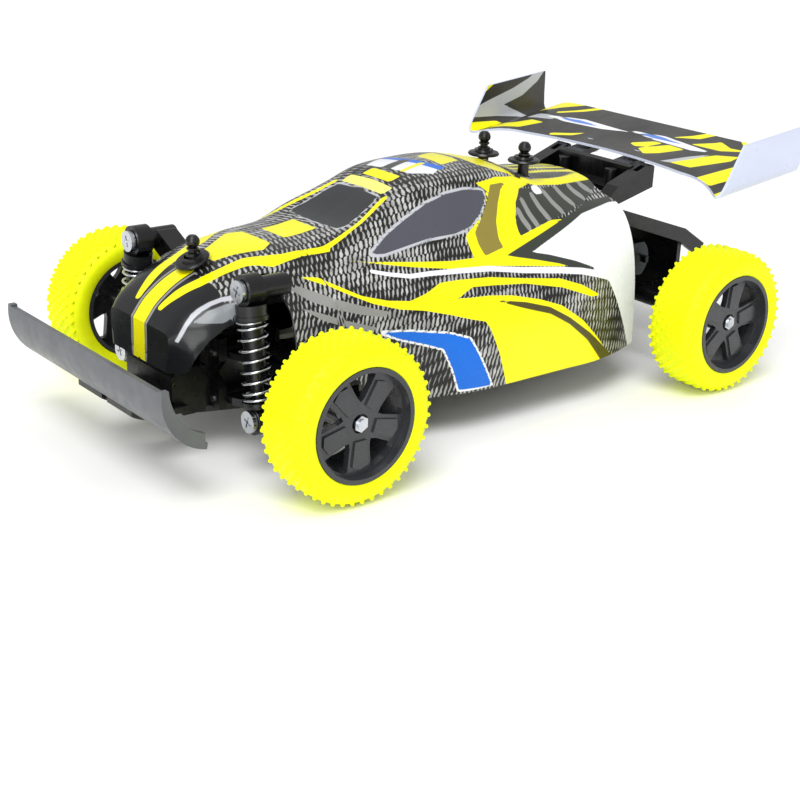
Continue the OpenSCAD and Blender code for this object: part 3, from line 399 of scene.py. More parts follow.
# The shell's lower edge, as (y, z): nose, front wheel arch, sill
LOWER_EDGE = np.array([
    [-131, 37], [-127.5, 38], [-124.3, 45], [-119.3, 51.2], [-113.5, 55], [-106.5, 58], [-99, 60], [-95, 59],
    [-93, 50], [-91.2, 46.8], [-83, 46.4], [-75, 42.5], [-71.5, 39], [-70, 28], [-68, 18], [92, 18],
], float)
SHELL_T = 1.2
SHELL_ROWS = 178
SHELL_COLUMNS = 84  # on each side of the centre line
NOSE_ROWS = 14
FRONT_FACE_Y = -130.9  # points in front of this are on the nose's flat face
POST_HOLES = [(0, -107), (13, 53), (-13, 53)]
POST_HOLE_R = 3.2
# Where the shock tower's arms come out: (x, z) outline and its y span
TOWER_NOTCH = [(22, 40), (22, 69.4), (37, 76.4), (56, 76.4), (56, 40)]
TOWER_NOTCH_Y = (-101.8, -91.2)


def station(y):
    """The station at y, on a smooth curve through the typed ones."""
    ys = STATIONS[:, 0]
    i = int(np.clip(np.searchsorted(ys, y) - 1, 0, len(ys) - 2))
    p1, p2 = STATIONS[i], STATIONS[i + 1]
    h = p2[0] - p1[0]

    def slope(k):
        if k == 0 or k == len(ys) - 1:
            return (p2 - p1) / h
        a, b, c = STATIONS[k - 1 : k + 2]
        h0, h1 = b[0] - a[0], c[0] - b[0]
        return ((b - a) / h0 * h1 + (c - b) / h1 * h0) / (h0 + h1)

    t = (y - p1[0]) / h
    m1, m2 = slope(i), slope(i + 1)
    return (
        (2 * t**3 - 3 * t**2 + 1) * p1
        + (t**3 - 2 * t**2 + t) * h * m1
        + (3 * t**2 - 2 * t**3) * p2
        + (t**3 - t**2) * h * m2
    )


def half_section(y):
    """Evenly spaced (x, z) points of one half of the shell at y, from the centre line to its lower edge."""
    s = station(y)
    corners = [np.array([0, s[1]])] + [s[2 + 2 * k : 4 + 2 * k] for k in range(5)]
    ends = [corners[0]] + [(corners[k] + corners[k + 1]) / 2 for k in range(1, 4)] + [corners[5]]
    t = np.linspace(0, 1, 24, endpoint=False)[:, None]
    curve = [(1 - t) ** 2 * ends[k - 1] + 2 * t * (1 - t) * corners[k] + t * t * ends[k] for k in range(1, 5)]
    curve = np.vstack(curve + [corners[5][None]])
    low = np.interp(y, LOWER_EDGE[:, 0], LOWER_EDGE[:, 1])
    over = int(np.argmax(curve[:, 1] < low)) if (curve[:, 1] < low).any() else len(curve)
    if over < len(curve):
        a, b = curve[over - 1], curve[over]
        curve = np.vstack([curve[:over], a + (b - a) * (a[1] - low) / (a[1] - b[1])])
    run = np.r_[0, np.cumsum(np.linalg.norm(np.diff(curve, axis=0), axis=1))]
    at = np.linspace(0, run[-1], SHELL_COLUMNS + 1)
    return np.c_[np.interp(at, run, curve[:, 0]), np.interp(at, run, curve[:, 1])]


def shell_grid():
    rows = []
    for y in np.linspace(STATIONS[0, 0], STATIONS[-1, 0], SHELL_ROWS):
        half = half_section(y)
        x = np.r_[-half[:0:-1, 0], half[:, 0]]
        z = np.r_[half[:0:-1, 1], half[:, 1]]
        rows.append(np.c_[x, np.full(len(x), y), z])
    rim = rows[0]
    foot = np.array([0, rim[0, 1], rim[0, 2]])
    nose = [foot + (rim - foot) * t for t in np.linspace(0.03, 1, NOSE_ROWS, endpoint=False)]
    return np.array(nose + rows)


STROKE_ROW_MM = 5.2
STROKE_MM = 2.1
STROKE_SLANT = 0.28


def zebra(look):
    """Rows of short slanted light strokes on dark, running along the body at steps of |x| - z."""

    def math_node(operation, a, b=0.0, c=0.0):
        return look.add("Math", {0: a, 1: b, 2: c}, operation=operation).outputs["Value"]

    axis = look.add("SeparateXYZ", {"Vector": look.place}).outputs
    across = math_node("SUBTRACT", math_node("ABSOLUTE", axis["X"]), axis["Z"])
    sway = look.noise(16, 2)
    row_at = math_node("MULTIPLY_ADD", across, 1 / (STROKE_ROW_MM * MM), sway)
    row = math_node("FLOOR", row_at)
    up_row = math_node("ABSOLUTE", math_node("SUBTRACT", math_node("FRACT", row_at), 0.5))
    shift = look.add("TexWhiteNoise", {"W": row}, noise_dimensions="1D").outputs["Value"]
    slanted = math_node("MULTIPLY_ADD", across, STROKE_SLANT, axis["Y"])
    along = math_node("MULTIPLY_ADD", slanted, 1 / (STROKE_MM * MM), math_node("MULTIPLY", shift, 3.0))
    wobble = math_node("MULTIPLY_ADD", look.noise(3.0, 2), 0.9, along)
    wave = math_node("SINE", math_node("MULTIPLY", wobble, 2 * math.pi))
    thin = math_node("MULTIPLY_ADD", math_node("MULTIPLY", up_row, up_row), -3.4, wave)
    patches = look.span(look.noise(13, 2, (1, 1.6, 0.7)), -0.45, 0.75, 0.35, 0.65)
    ink = math_node("ADD", thin, patches)
    light = look.mix(look.span(look.noise(5, 2), 0, 1), rgb("8d8d8b"), rgb("c6c6c4"))
    return look.mix(look.span(ink, 0, 1, -0.1, 0.8), rgb("181817"), light)


def shell_material(name):
    """Printed film: light strokes on dark, with the painted coats over them, under a clear gloss."""
    look = Look(name)
    colour = painted(look, zebra(look), SHELL_COATS, PALETTE)
    tone = look.span(look.noise(22, 3), 0, 1)
    duller = look.add("HueSaturation", {"Color": colour, "Value": 0.93}).outputs["Color"]
    look.set(
        Base_Color=look.mix(tone, colour, duller),
        Roughness=look.span(look.noise(12, 4), 0.2, 0.34),
        Normal=look.bump(look.noise(3.5, 3), 0.03, 0.5),
        Specular_IOR_Level=0.3,
        Coat_Weight=0.12,
        Coat_Roughness=0.08,
    )
    return look.material


def mirrored_pattern(co):
    """The shell's pattern: "side" shapes are (y, z) and "top" ones (|x|, y), the same on both sides.

    "plan" shapes are (x, y), so they aren't mirrored.
    """
    side = co[:, 1:]
    top = np.c_[np.abs(co[:, 0]), co[:, 1]]
    paint = Pattern({"side": side, "top": top, "plan": co[:, :2]})

    def above(z):
        return co[:, 2] - z

    # Flank, from the nose back
    paint.area("brushed", "side", [(-86, 66.5), (-82, 67), (-70, 62), (-56, 57.3), (-47, 54.6), (-52, 53.6),
                                   (-60, 55.4), (-70, 58.4), (-80, 62.2)])
    paint.area("brushed", "side", [(-86, 61), (-78, 58.2), (-69, 54.6), (-60, 51.6), (-52.5, 49),
                                   (-60, 49.6), (-69, 52.2), (-78, 55.8)])
    paint.area("yellow", "side", [
        (-79, 69.4), (-72, 68.6), (-66.5, 65.7), (-59, 62), (-48, 59), (-38.5, 57.8), (-31, 59.5),
        (-22, 62.2), (-12, 62.1), (3, 61.2), (21, 58.6), (39, 56.3), (51, 52.1), (62, 46), (56, 46.5),
        (51, 48.5), (39, 53), (19.4, 57.1), (4, 58.5), (-7.7, 59.3), (-18, 56.4), (-11.4, 55.9),
        (-1, 55.4), (10.5, 53.9), (25, 50.3), (37, 46), (49, 38), (59, 28.4), (69.5, 17), (5.7, 17),
        (1, 31.5), (-4, 43.7), (-6, 46.5), (-12, 48), (-22, 51), (-33, 53.8), (-43.6, 55.4),
        (-55, 58.9), (-63.5, 62.8), (-69.5, 65.8)])
    paint.area("olive", "side", [(0, 53.7), (17, 50.4), (30, 46.5), (41, 40.4), (54, 31.3), (71, 17),
                                 (62.5, 17), (52, 28.9), (41, 37.6), (30, 43.8), (16, 48.2)])
    paint.area("dark", "side", [(17, 67), (24, 69), (55, 76), (74, 79.7), (91, 80.4), (86.6, 79), (68, 77),
                                (30, 66.7), (39, 65), (52, 61), (69, 53), (45, 60.5)])
    paint.area("white", "side", [(31, 66.7), (67, 76.7), (86, 79), (92, 79), (92, 17), (86, 17), (79.5, 31),
                                 (73.5, 43.7), (69, 52), (60, 58), (51, 61.5), (39, 65)])
    paint.area("yellow", "side", [(-56, 72.7), (-30, 70), (-12, 68.4), (0, 68.1), (17, 67), (32, 63.8),
                                  (45, 60.8), (45, 60.1), (24, 62.6), (6, 64.8), (-14, 66.1),
                                  (-31, 68.5), (-47, 71.3)])
    paint.stroke("white", "side", [(-50, 69), (-43, 67.3), (-34, 65.7), (-24, 65.6), (-10, 64.9), (5, 63.9),
                                   (23, 61.2), (41, 59.2), (53, 57.2), (62, 54.8), (69, 52.6)], 1.1, 1.7, 3)
    paint.area("blue", "side", [(-52.5, 47.5), (-40.5, 46.4), (-23, 43.6), (-14.4, 40.6), (-10, 33),
                                (-3, 19.4), (-19, 19.9), (-22, 29), (-26, 38), (-34, 40.8),
                                (-45, 44.2)], "white", 0.9)

    # Pillar, louvres and side window
    paint.area("yellow", "side", [
        (13.4, 94), (18, 91), (14, 86), (9.5, 81.6), (5, 78.8), (0, 75.7), (0, 71.8), (0, 68), (17, 67),
        (55, 76), (48, 76.3), (28, 72.8), (29, 79.3), (32.5, 84.6), (38.8, 88.9), (48.8, 89.6),
        (38, 93.5), (26, 95)])
    paint.area("gold", "side", [(21, 92.7), (31, 92.6), (26, 90.5), (22, 86), (18, 79.4), (16.2, 73),
                                (17, 70), (6, 68.2), (5, 72.5), (5.4, 76.6), (10.7, 81), (15.5, 86)])
    paint.area("dark", "side", [(38.8, 88.9), (56.6, 86.4), (79, 85.6), (91, 85.3), (91, 83.5), (73, 79.8),
                                (48, 76.3), (28, 72.8), (28.5, 77.4), (32.5, 84.6)])
    for y, low, high in ((33, 75.5, 81.5), (38, 76, 84.5), (46, 77.5, 85.3), (55.5, 79, 85), (65, 80.5, 85),
                         (74, 81.7, 84.8), (82, 83, 84.8)):
        paint.stroke("brushed", "side", [(y + 1.6, low), (y, (low + high) / 2), (y - 0.6, high)], 2.9)
    paint.stroke("white", "side", [(49, 86.9), (52, 86.6)], 3)
    paint.area("glass", "side", [
        (-46.7, 74.3), (-37.7, 79.4), (-26, 84.4), (-15, 89), (-4, 91.6), (6, 92.3), (14, 91.5),
        (16.3, 90.6), (14.5, 86.7), (10, 82.6), (4, 79), (-5, 77.4), (-18, 77.2), (-30.5, 75.4),
        (-41, 74)], "silver", 1.0)

    # Nose and hood
    up_front = np.minimum(-95 - co[:, 1], above(57))
    paint.area("black", "top", [(-1, -135), (60, -135), (60, -110), (-1, -110)])
    paint.area("yellow", "top", [
        (6.6, -127), (9.5, -127), (13, -120), (15.8, -113), (17, -104), (19.5, -95), (25, -87), (24.6, -80),
        (24.2, -72), (26.3, -61), (23.8, -59), (21.2, -70), (20.6, -80), (18, -86), (13.5, -93),
        (12.4, -102), (10.2, -112), (7.8, -120)])
    paint.area("yellow", "top", [(-1, -101), (5.5, -101), (8, -94), (13.6, -83.5), (10, -78), (-1, -78)])
    paint.area("yellow", "top", [(-1, -70), (8, -70), (8, -54.5), (-1, -54.5)])
    paint.stroke("brushed", "top", [(5.2, -134), (5.6, -110)], 1.3)
    paint.area("yellow", "top", [(-1, -134), (4.2, -134), (4.2, -110), (3, -108), (-1, -108)])
    # The silver stroke along the nose crease is a painted highlight, where the crease catches the light.
    paint.stroke("silver", "side", [(-129, 50), (-127, 53.5), (-125, 56.2), (-122, 59), (-119, 61),
                                    (-115, 62.8), (-111, 64), (-104, 65.2)], 1.1)
    paint.area("band", "side", [(-130, 46), (-127, 52.6), (-123, 57), (-117, 60.7), (-110, 62.8),
                                (-103, 63.8), (-103, 60.5), (-110, 58.6), (-117, 55), (-122, 50),
                                (-125, 46), (-128, 41)],
               only=up_front)

    # Windscreen, pillars and roof
    paint.stroke("yellow", "top", [(23.2, -72.6), (24, -61.7), (23, -52.7), (21.5, -43), (18.4, -33),
                                   (16.8, -27)], 2.2, only=above(74))
    paint.area("screen", "top", [(-1, -50.5), (15.8, -50), (17.2, -47), (14.6, -32), (12.6, -28),
                                 (-1, -27)],
               "silver", 0.9)
    paint.area("pale", "top", [(-1, -25.5), (13.5, -26), (14, -21), (-1, -20)])
    paint.area("yellow", "top", [(-1, -18.5), (9, -18.5), (9, -13), (-1, -13)])
    paint.area("white", "plan", [(-15, -12), (-19, 0), (-9, 3), (11, 7), (16, -1), (10, -8.5)])
    paint.area("blue", "plan", [(-18, -2), (-19, 1), (-9, 4.5), (12, 8.5), (13.6, 4), (0, 2.2)])
    paint.area("dark", "plan", [(-6, -11), (-1, -10), (-5, 4), (-9, 3)])
    paint.area("yellow", "plan", [(4, -9.5), (6.5, -9), (3, 5.5), (0.5, 4.8)])
    paint.area("yellow", "plan", [(-9.5, 11), (-13.5, 23), (6, 21), (8.5, 10)])
    paint.area("yellow", "top", [(-1, 25), (13, 25), (20, 30), (21.5, 39.5), (13, 38), (-1, 36.5)])

    # Deck
    for x in (0, 7.6):
        paint.stroke("yellow", "top", [(x, 42), (x * 0.8, 92)], 3.2, 2.6)
    paint.area("dark", "top", [(10.5, 42), (18.6, 44), (16.5, 56), (14.5, 92), (8.8, 92), (9.4, 60)])
    paint.stroke("yellow", "side", [(44, 91.4), (52, 88.9), (66, 87.3), (83, 86.6), (92, 86.1)], 1.7,
                 only=above(84))
    return paint


SHELL_COATS = ["brushed", "yellow", "olive", "dark", "white", "blue", "gold", "silver", "glass", "black",
               "pale", "screen", "band"]


def make_shell():
    outer = shell_grid()
    inner = outer + grid_normals(outer) * -SHELL_T
    inner[..., 1] = np.maximum(inner[..., 1], outer[..., 1].min() + SHELL_T * (outer[..., 1] > FRONT_FACE_Y))
    points, faces, outside = sheet_solid(outer, inner)
    kinds = np.ones(len(faces), int)
    kinds[:outside] = 0
    film = shell_material("printed_shell")
    backing = moulded("shell_backing", rgb("303133"), 0.4)
    shell = mesh_object("printed_body_shell", points, faces, [film, backing], kinds)
    cuts = [prism([(side * x, z) for x, z in TOWER_NOTCH][::side], *TOWER_NOTCH_Y, 1) for side in (1, -1)]
    cuts += [prism(circle(hole, POST_HOLE_R), 55, 110, 2) for hole in POST_HOLES]
    cutter = mesh_object("shell_cutter", *joined(cuts), [backing, backing], None)
    outward(cutter)
    outward(shell)
    cutter.data.polygons.foreach_set("material_index", np.ones(len(cutter.data.polygons), np.int32))
    cut = shell.modifiers.new("openings", "BOOLEAN")
    cut.object = cutter
    cut.operation = "DIFFERENCE"
    cut.solver = "MANIFOLD"
    applied(shell)
    bpy.data.objects.remove(cutter)
    mirrored_pattern(coordinates(shell.data)).store(shell.data)
    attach(shell, "chassis")
    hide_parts("body_shell")


def outward(piece):
    """Turns the piece's faces to look outwards."""
    work = bmesh.new()
    work.from_mesh(piece.data)
    bmesh.ops.recalc_face_normals(work, faces=work.faces)
    work.to_mesh(piece.data)
    work.free()


# ---- Rear wing ----
# Columns of the wing, out from the middle: x, dip towards the gutter, rise up the end plate, lean in degrees
WING_COLUMNS = [
    (0, 0, 0, 0), (36, 0, 0, 0), (50, 0, 0, 0), (60, 0.03, 0, -2), (66, 0.14, 0, -8), (71, 0.42, 0, -17),
    (75, 0.8, 0, -16), (77.6, 0.98, 0, -2), (79.2, 1, 0.02, 30), (80, 1, 0.07, 65), (80.5, 1, 0.15, 85),
    (80.7, 1, 0.4, 90), (80.7, 1, 0.7, 90), (80.7, 1, 1, 90),
]
WING_T = 1.2
WING_ROWS = 30
WING_STEP_MM = 1.5
WING_REAR = 156
PLATE_X = 76.5  # the blade's print ends here and the end plate's begins
BOSS_X = 15
BOSS_Y = 126
BOSS_R = 3.2


def wing_front(x, rise):
    if rise > 0:
        return 104 + 12 * rise
    return 118 - 0.0016 * x * x if x < 50 else 114 - 10 * ((x - 50) / 29.2) ** 2


def wing_point(x, dip, rise, share):
    """share runs from 0 at the front edge to 1 at the rear edge."""
    y = wing_front(x, rise) * (1 - share) + (WING_REAR - 0.7 * rise) * share
    blade = 93.6 + 0.216 * (y - 118)
    gutter = 88.7 + 0.125 * (y - 104)
    low = blade + (gutter - blade) * dip
    return np.array([x, y, low + (110 + 0.12 * (y - 116) - low) * rise])


def wing_columns():
    """The typed columns with more between them, about WING_STEP_MM apart."""
    fine = []
    for a, b in zip(WING_COLUMNS[:-1], WING_COLUMNS[1:]):
        run = np.linalg.norm(wing_point(*a[:3], 0.5) - wing_point(*b[:3], 0.5))
        steps = max(2, int(run / WING_STEP_MM))
        fine += [tuple(np.array(a) + (np.array(b) - np.array(a)) * k / steps) for k in range(steps)]
    return fine + [WING_COLUMNS[-1]]


def wing_pattern(co):
    plan, side = co[:, :2], co[:, 1:]
    paint = Pattern({"plan": plan, "side": side})
    on_blade = PLATE_X - np.abs(co[:, 0])
    shapes = [
        ("yellow", [(-76, 157), (-76, 144), (-66, 143), (-50, 157)]),
        ("yellow", [(-56, 141), (-45, 149), (-38, 157), (-42, 157), (-50, 148), (-58, 142)]),
        ("yellow", [(-74, 112), (-58, 117), (-52, 128), (-60, 128), (-66, 121), (-76, 120)]),
        ("yellow", [(-36, 117), (-26, 122), (-22, 128), (-28, 124), (-38, 119)]),
        ("yellow", [(5, 129), (14, 136), (19, 136), (15, 129), (10, 127)]),
        ("yellow", [(13, 126), (23, 136), (33, 135), (26, 126), (20, 122)]),
        ("yellow", [(36, 120), (50, 137), (60, 141), (60, 135), (50, 120)]),
        ("yellow", [(31, 142), (48, 142), (60, 148), (66, 157), (44, 157), (40, 149)]),
        ("yellow", [(17, 144), (30, 149), (34, 157), (29, 157), (24, 150)]),
        ("dark", [(39, 152), (50, 147), (58, 148), (47, 157), (42, 157)]),
        ("silver", [(33, 119), (41, 130), (48, 137), (45, 130), (38, 120)]),
        ("yellow", [(60, 112), (72, 157), (78, 157), (70, 110)]),
        ("silver", [(-66, 130), (-52, 133), (-50, 138), (-64, 137)]),
    ]
    for colour, outline in shapes:
        paint.area(colour, "plan", outline, only=on_blade)
    # Two white wedges with blue in them
    paint.area("white", "plan", [(-60, 136), (-36, 141), (-6, 139), (-20, 135.5),
                                 (-44, 134)], only=on_blade)
    paint.area("white", "plan", [(-8, 141), (14, 143.5), (46, 138.5), (36, 136),
                                 (12, 137.5)], only=on_blade)
    paint.area("blue", "plan", [(-54, 136.4), (-38, 139), (-20, 137.6), (-38, 135.8)], only=on_blade)
    paint.area("blue", "plan", [(-3, 141), (12, 142.2), (28, 139.6), (10, 139)], only=on_blade)
    # Inner faces of the end plates
    up_plate = np.abs(co[:, 0]) - PLATE_X
    paint.area("silver", "side", [(106, 99), (118, 103), (133, 107.5), (144, 112), (150, 116), (156, 117),
                                  (150, 110), (140, 103.5), (127, 99.6), (137, 95.5), (143, 92.6),
                                  (122, 94.4), (106, 95)], only=up_plate)
    paint.area("yellow", "side", [(110, 113), (114, 107), (121, 111.5), (124, 114)], only=up_plate)
    paint.area("yellow", "side", [(102, 86), (130, 88), (122, 92), (104, 92.5)], only=up_plate)
    return paint


WING_COATS = ["yellow", "silver", "white", "blue", "dark"]


def wing_materials():
    look = Look("printed_wing")
    fade = look.span(look.noise(26, 3, (1, 2.5, 1)), 0, 1)
    base = look.mix(fade, rgb("242424"), rgb("4b4a48"))
    look.set(
        Base_Color=painted(look, base, WING_COATS, PALETTE | {"blue": rgb("5c86d8")}),
        Roughness=look.span(look.noise(12, 4), 0.24, 0.38),
        Normal=look.bump(look.noise(3.5, 3), 0.03, 0.5),
        Specular_IOR_Level=0.3,
        Coat_Weight=0.1,
        Coat_Roughness=0.1,
    )
    # The end plates are white plastic; their grey-blue tint is painted shade, so they stand apart from the
    # white backdrop.
    white = moulded("wing_white_painted_shade", rgb("ccd3e8"), 0.34, 2.5, 0.03, 0.03, Coat_Weight=0.3)
    return [look.material, white]


def make_wing():
    fine = wing_columns()
    right_to_left = [(-1, c) for c in fine[:0:-1]] + [(1, c) for c in fine]
    shares = np.linspace(0, 1, WING_ROWS)
    top, under = [], []
    for share in shares:
        line = [wing_point(*c[:3], share) * (side, 1, 1) for side, c in right_to_left]
        leans = [(side, math.radians(c[3])) for side, c in right_to_left]
        lean = [(side * math.sin(a), 0, -math.cos(a)) for side, a in leans]
        top.append(line)
        under.append([p + WING_T * np.array(v) for p, v in zip(line, lean)])
    points, faces, outside = sheet_solid(np.array(top), np.array(under))
    kinds = np.ones(len(faces), int)
    kinds[:outside] = 0
    bosses = [prism(circle((x, BOSS_Y), BOSS_R), 93.4, 94.8, 2) for x in (-BOSS_X, BOSS_X)]
    boss_points, boss_faces = joined(bosses)
    faces = [tuple(f) for f in faces] + [tuple(i + len(points) for i in f) for f in boss_faces]
    points = np.vstack([points, boss_points])
    kinds = np.r_[kinds, np.ones(len(boss_faces), int)]
    wing = mesh_object("printed_rear_wing", points, faces, wing_materials(), kinds, 40)
    outward(wing)
    wing_pattern(coordinates(wing.data)).store(wing.data)
    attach(wing, "chassis")
    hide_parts("rear_wing")


# ---- Tyres ----
TYRE_R = 32.0
STUD_H = 0.8
STUD_R = 0.85
STUDS_ROUND = 42
STUD_SIDES = 7
STUD_LANES = 9
LANE_MARGINS = 3.6  # tread without studs, both edges together
SHOULDER_W = 6.2
SHOULDER_DROP = 0.075
SHOULDER_TILT = 0.16
TYRE_TURNS = 120


def smooth_loop(points, rounds=3):
    """A closed outline with its corners rounded."""
    p = np.asarray(points, float)
    for _ in range(rounds):
        q = np.roll(p, -1, axis=0)
        p = np.stack([0.75 * p + 0.25 * q, 0.25 * p + 0.75 * q], 1).reshape(-1, 2)
    return p


def tyre_profile(half):
    """(across, radius) of the bare tyre: flat seat on the rim, bulging sidewalls, crowned tread."""
    tread = TYRE_R - STUD_H
    return [
        (-half + 0.8, 21.9), (half - 1.6, 21.9), (half - 0.5, 22.3), (half, 24), (half, 26.6),
        (half - 1, 28.6), (half - 3.4, tread - 0.55), (half - 7, tread), (7 - half, tread),
        (3.4 - half, tread - 0.55), (1 - half, 28.6), (-half, 26.6), (-half, 24), (0.5 - half, 22.3),
    ]


def stud(across, radius, tilt, turn):
    """One rounded stud standing on the tread at that place across, leaning out by tilt."""
    rings = [(STUD_R * 1.15, -0.5), (STUD_R * 0.86, STUD_H * 0.6), (STUD_R * 0.45, STUD_H * 0.95)]
    axis = np.array([math.sin(tilt), math.cos(tilt)])
    cross = np.array([math.cos(tilt), -math.sin(tilt)])
    points = []
    for r, h in rings:
        for k in range(STUD_SIDES):
            a = 2 * math.pi * k / STUD_SIDES
            x, rad = np.array([across, radius]) + axis * h + cross * r * math.cos(a)
            points.append((x, rad, r * math.sin(a)))
    x, rad = np.array([across, radius]) + axis * STUD_H
    points.append((x, rad, 0))
    p = np.array(points)
    c, s = math.cos(turn), math.sin(turn)
    world = np.c_[p[:, 0], p[:, 2] * c + p[:, 1] * s, p[:, 1] * c - p[:, 2] * s]
    last = STUD_SIDES * (len(rings) - 1)
    faces = [tuple(f) for f in grid_faces(len(rings), STUD_SIDES, closed=True)]
    faces += [(last + k, last + (k + 1) % STUD_SIDES, last + STUD_SIDES) for k in range(STUD_SIDES)]
    faces.append(tuple(range(STUD_SIDES - 1, -1, -1)))
    return world, faces


def make_tyre(node, body, out):
    low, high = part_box(node)
    centre = (np.array(low) + np.array(high)) / 2 / MM
    half = (high.x - low.x) / 2 / MM
    profile = smooth_loop(tyre_profile(half))
    turn = np.linspace(0, 2 * math.pi, TYRE_TURNS, endpoint=False)
    rings = [np.c_[np.full(TYRE_TURNS, x), r * np.sin(turn), r * np.cos(turn)] for x, r in profile]
    ring = np.stack(rings, 0)
    rows = len(profile)
    faces = grid_faces(rows + 1, TYRE_TURNS, closed=True) % (rows * TYRE_TURNS)
    parts = [(ring.reshape(-1, 3), faces)]
    for lane in range(STUD_LANES):
        across = (lane - (STUD_LANES - 1) / 2) * (2 * half - LANE_MARGINS) / (STUD_LANES - 1)
        edge = max(0.0, abs(across) - (half - SHOULDER_W))
        radius = TYRE_R - STUD_H - SHOULDER_DROP * edge**2
        tilt = math.copysign(SHOULDER_TILT * edge, across)
        for k in range(STUDS_ROUND):
            angle = 2 * math.pi * (k + 0.5 * (lane % 2)) / STUDS_ROUND
            parts.append(stud(across, radius, tilt, angle))
    points, all_faces = joined(parts)
    tyre = mesh_object("studded_" + node, np.array(points) * (out, 1, 1) + centre, all_faces,
                       [LOOKS["tyre_rubber"]], sharp=50)
    outward(tyre)
    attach(tyre, body)
    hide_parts(node)


# ---- Springs ----
# Their ends, wire and seats; the front shocks' values are for the car's left.
SHOCK_TOP = (39.8, -107.5, 71.1)
SHOCK_FOOT = (47.4, -107.5, 22.6)
SHOCK_COIL = {"radius": 6, "wire": 1, "turns": 8.5, "seat_top": 11, "seat_foot": 41.9}
REAR_COIL = {
    "top": (-15, 100, 68.6), "foot": (-15, 100, 45.5), "radius": 4.5, "wire": 1, "turns": 6.5,
    "seat_top": 0, "seat_foot": 23.1,
}
COIL_STEPS = 28  # rings of points in a turn
COIL_SIDES = 10
COIL_CLOSED = 0.06  # part of the length taken by each closed end turn


def coil(top, foot, radius, wire, turns, seat_top, seat_foot):
    """A coil with closed ends, wound round the line from top to foot, between two distances below top."""
    rings = int(turns * COIL_STEPS)
    top, foot = np.array(top, float), np.array(foot, float)
    down = (foot - top) / np.linalg.norm(foot - top)
    side = np.cross(down, (0, 1, 0))
    side /= np.linalg.norm(side)
    other = np.cross(down, side)
    points = []
    for k in range(rings + 1):
        t = k / rings
        end, closed = 1 / turns, COIL_CLOSED
        rise = (closed * t / end if t < end else 1 - closed * (1 - t) / end if t > 1 - end
                else closed + (1 - 2 * closed) * (t - end) / (1 - 2 * end))
        depth = seat_top + wire / 2 + (seat_foot - seat_top - wire) * rise
        a = 2 * math.pi * turns * t
        out = side * math.cos(a) + other * math.sin(a)
        for s in range(COIL_SIDES):
            b = 2 * math.pi * s / COIL_SIDES
            along = down * (depth + wire / 2 * math.sin(b))
            points.append(top + along + out * (radius - wire / 2 * (1 - math.cos(b))))
    faces = [tuple(f) for f in grid_faces(rings + 1, COIL_SIDES, closed=True)]
    last = rings * COIL_SIDES
    faces += [tuple(range(COIL_SIDES)), tuple(range(last + COIL_SIDES - 1, last - 1, -1))]
    return points, faces, down


def make_spring(name, node, shape):
    points, faces, down = coil(**shape)
    spring = mesh_object(name, points, faces, [LOOKS["spring_wire"]], sharp=60)
    outward(spring)
    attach(spring, "chassis")
    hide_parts(node)
    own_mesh(spring)


# ---- Stage ----
CAMERA_TURNS = (50.03, 21.18, 2.59)  # azimuth, elevation and roll in degrees
CAMERA_TARGET = (0, -0.00011, -0.00793)
CAMERA_DISTANCE = 0.67567
CAMERA_LENS = 68.32
FLOOR_HALF = 4000
WORLD_STRENGTH = 0.62


def make_camera():
    azimuth, elevation, roll = (math.radians(a) for a in CAMERA_TURNS)
    target = Vector(CAMERA_TARGET)
    back = Vector((math.sin(azimuth) * math.cos(elevation), -math.cos(azimuth) * math.cos(elevation),
                   math.sin(elevation)))
    right = Vector((0, 0, 1)).cross(back).normalized()
    up = back.cross(right)
    rolled_right = math.cos(roll) * right + math.sin(roll) * up
    rolled_up = math.cos(roll) * up - math.sin(roll) * right
    data = bpy.data.cameras.new("camera")
    data.sensor_width = 36
    data.lens = CAMERA_LENS
    camera = bpy.data.objects.new("camera", data)
    bpy.context.scene.collection.objects.link(camera)
    turn = Matrix((rolled_right, rolled_up, back)).transposed().to_4x4()
    camera.matrix_world = Matrix.Translation(target + back * CAMERA_DISTANCE) @ turn
    bpy.context.scene.camera = camera


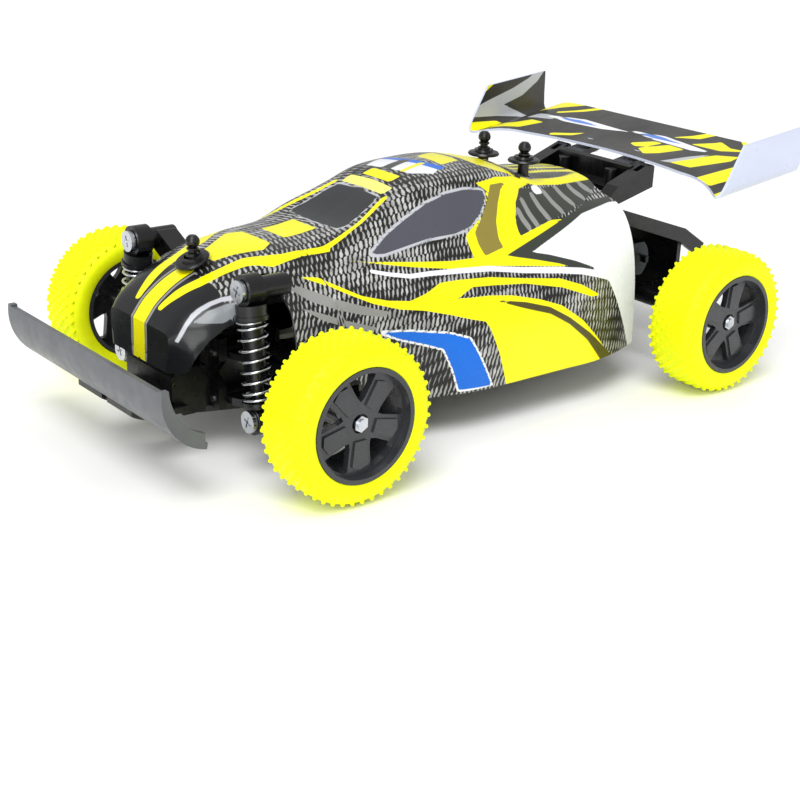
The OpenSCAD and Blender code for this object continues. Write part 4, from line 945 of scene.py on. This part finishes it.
def make_light(name, place, target, size, power):
    data = bpy.data.lights.new(name, "AREA")
    data.shape = "DISK"
    data.size = size
    data.energy = power
    lamp = bpy.data.objects.new(name, data)
    lamp.location = place
    lamp.rotation_euler = (Vector(target) - Vector(place)).to_track_quat("-Z", "Y").to_euler()
    bpy.context.scene.collection.objects.link(lamp)


def make_sun(name, towards, angle, strength):
    data = bpy.data.lights.new(name, "SUN")
    data.angle = math.radians(angle)
    data.energy = strength
    lamp = bpy.data.objects.new(name, data)
    lamp.rotation_euler = Vector(towards).to_track_quat("Z", "Y").to_euler()
    bpy.context.scene.collection.objects.link(lamp)


def make_floor():
    look = Look("floor_white")
    look.set(
        Base_Color=look.mix(look.span(look.noise(60, 3), 0, 1), rgb("fbfbfb"), rgb("fefefe")),
        Roughness=look.span(look.noise(30, 3), 0.5, 0.62),
    )
    size = FLOOR_HALF
    floor = mesh_object("floor", [(-size, -size, 0), (size, -size, 0), (size, size, 0), (-size, size, 0)],
                        [(0, 1, 2, 3)], [look.material])


def make_world():
    world = bpy.data.worlds.new("studio")
    world.use_nodes = True
    world.node_tree.nodes["Background"].inputs["Color"].default_value = (1, 1, 1, 1)
    world.node_tree.nodes["Background"].inputs["Strength"].default_value = WORLD_STRENGTH
    bpy.context.scene.world = world
    bpy.context.scene.view_settings.view_transform = "Standard"


make_camera()
make_world()
make_floor()
make_sun("key", (0.35, -0.45, 0.95), 34, 1.9)
make_light("front_fill", (0.75, -0.95, 0.45), (0, -0.02, 0.04), 0.7, 5)

make_shell()
make_wing()
for side in ("left", "right"):
    sign = 1 if side == "left" else -1
    make_tyre(side + "_front_tyre", side + "_front_wheel", sign)
    make_tyre(side + "_rear_tyre", "rear_axle", sign)
    ends = {"top": (sign * SHOCK_TOP[0], *SHOCK_TOP[1:]), "foot": (sign * SHOCK_FOOT[0], *SHOCK_FOOT[1:])}
    shock = ends | SHOCK_COIL
    make_spring(side + "_shock_coil", side + "_shock_spring", shock)
make_spring("rear_shock_coil", "rear_spring", REAR_COIL)
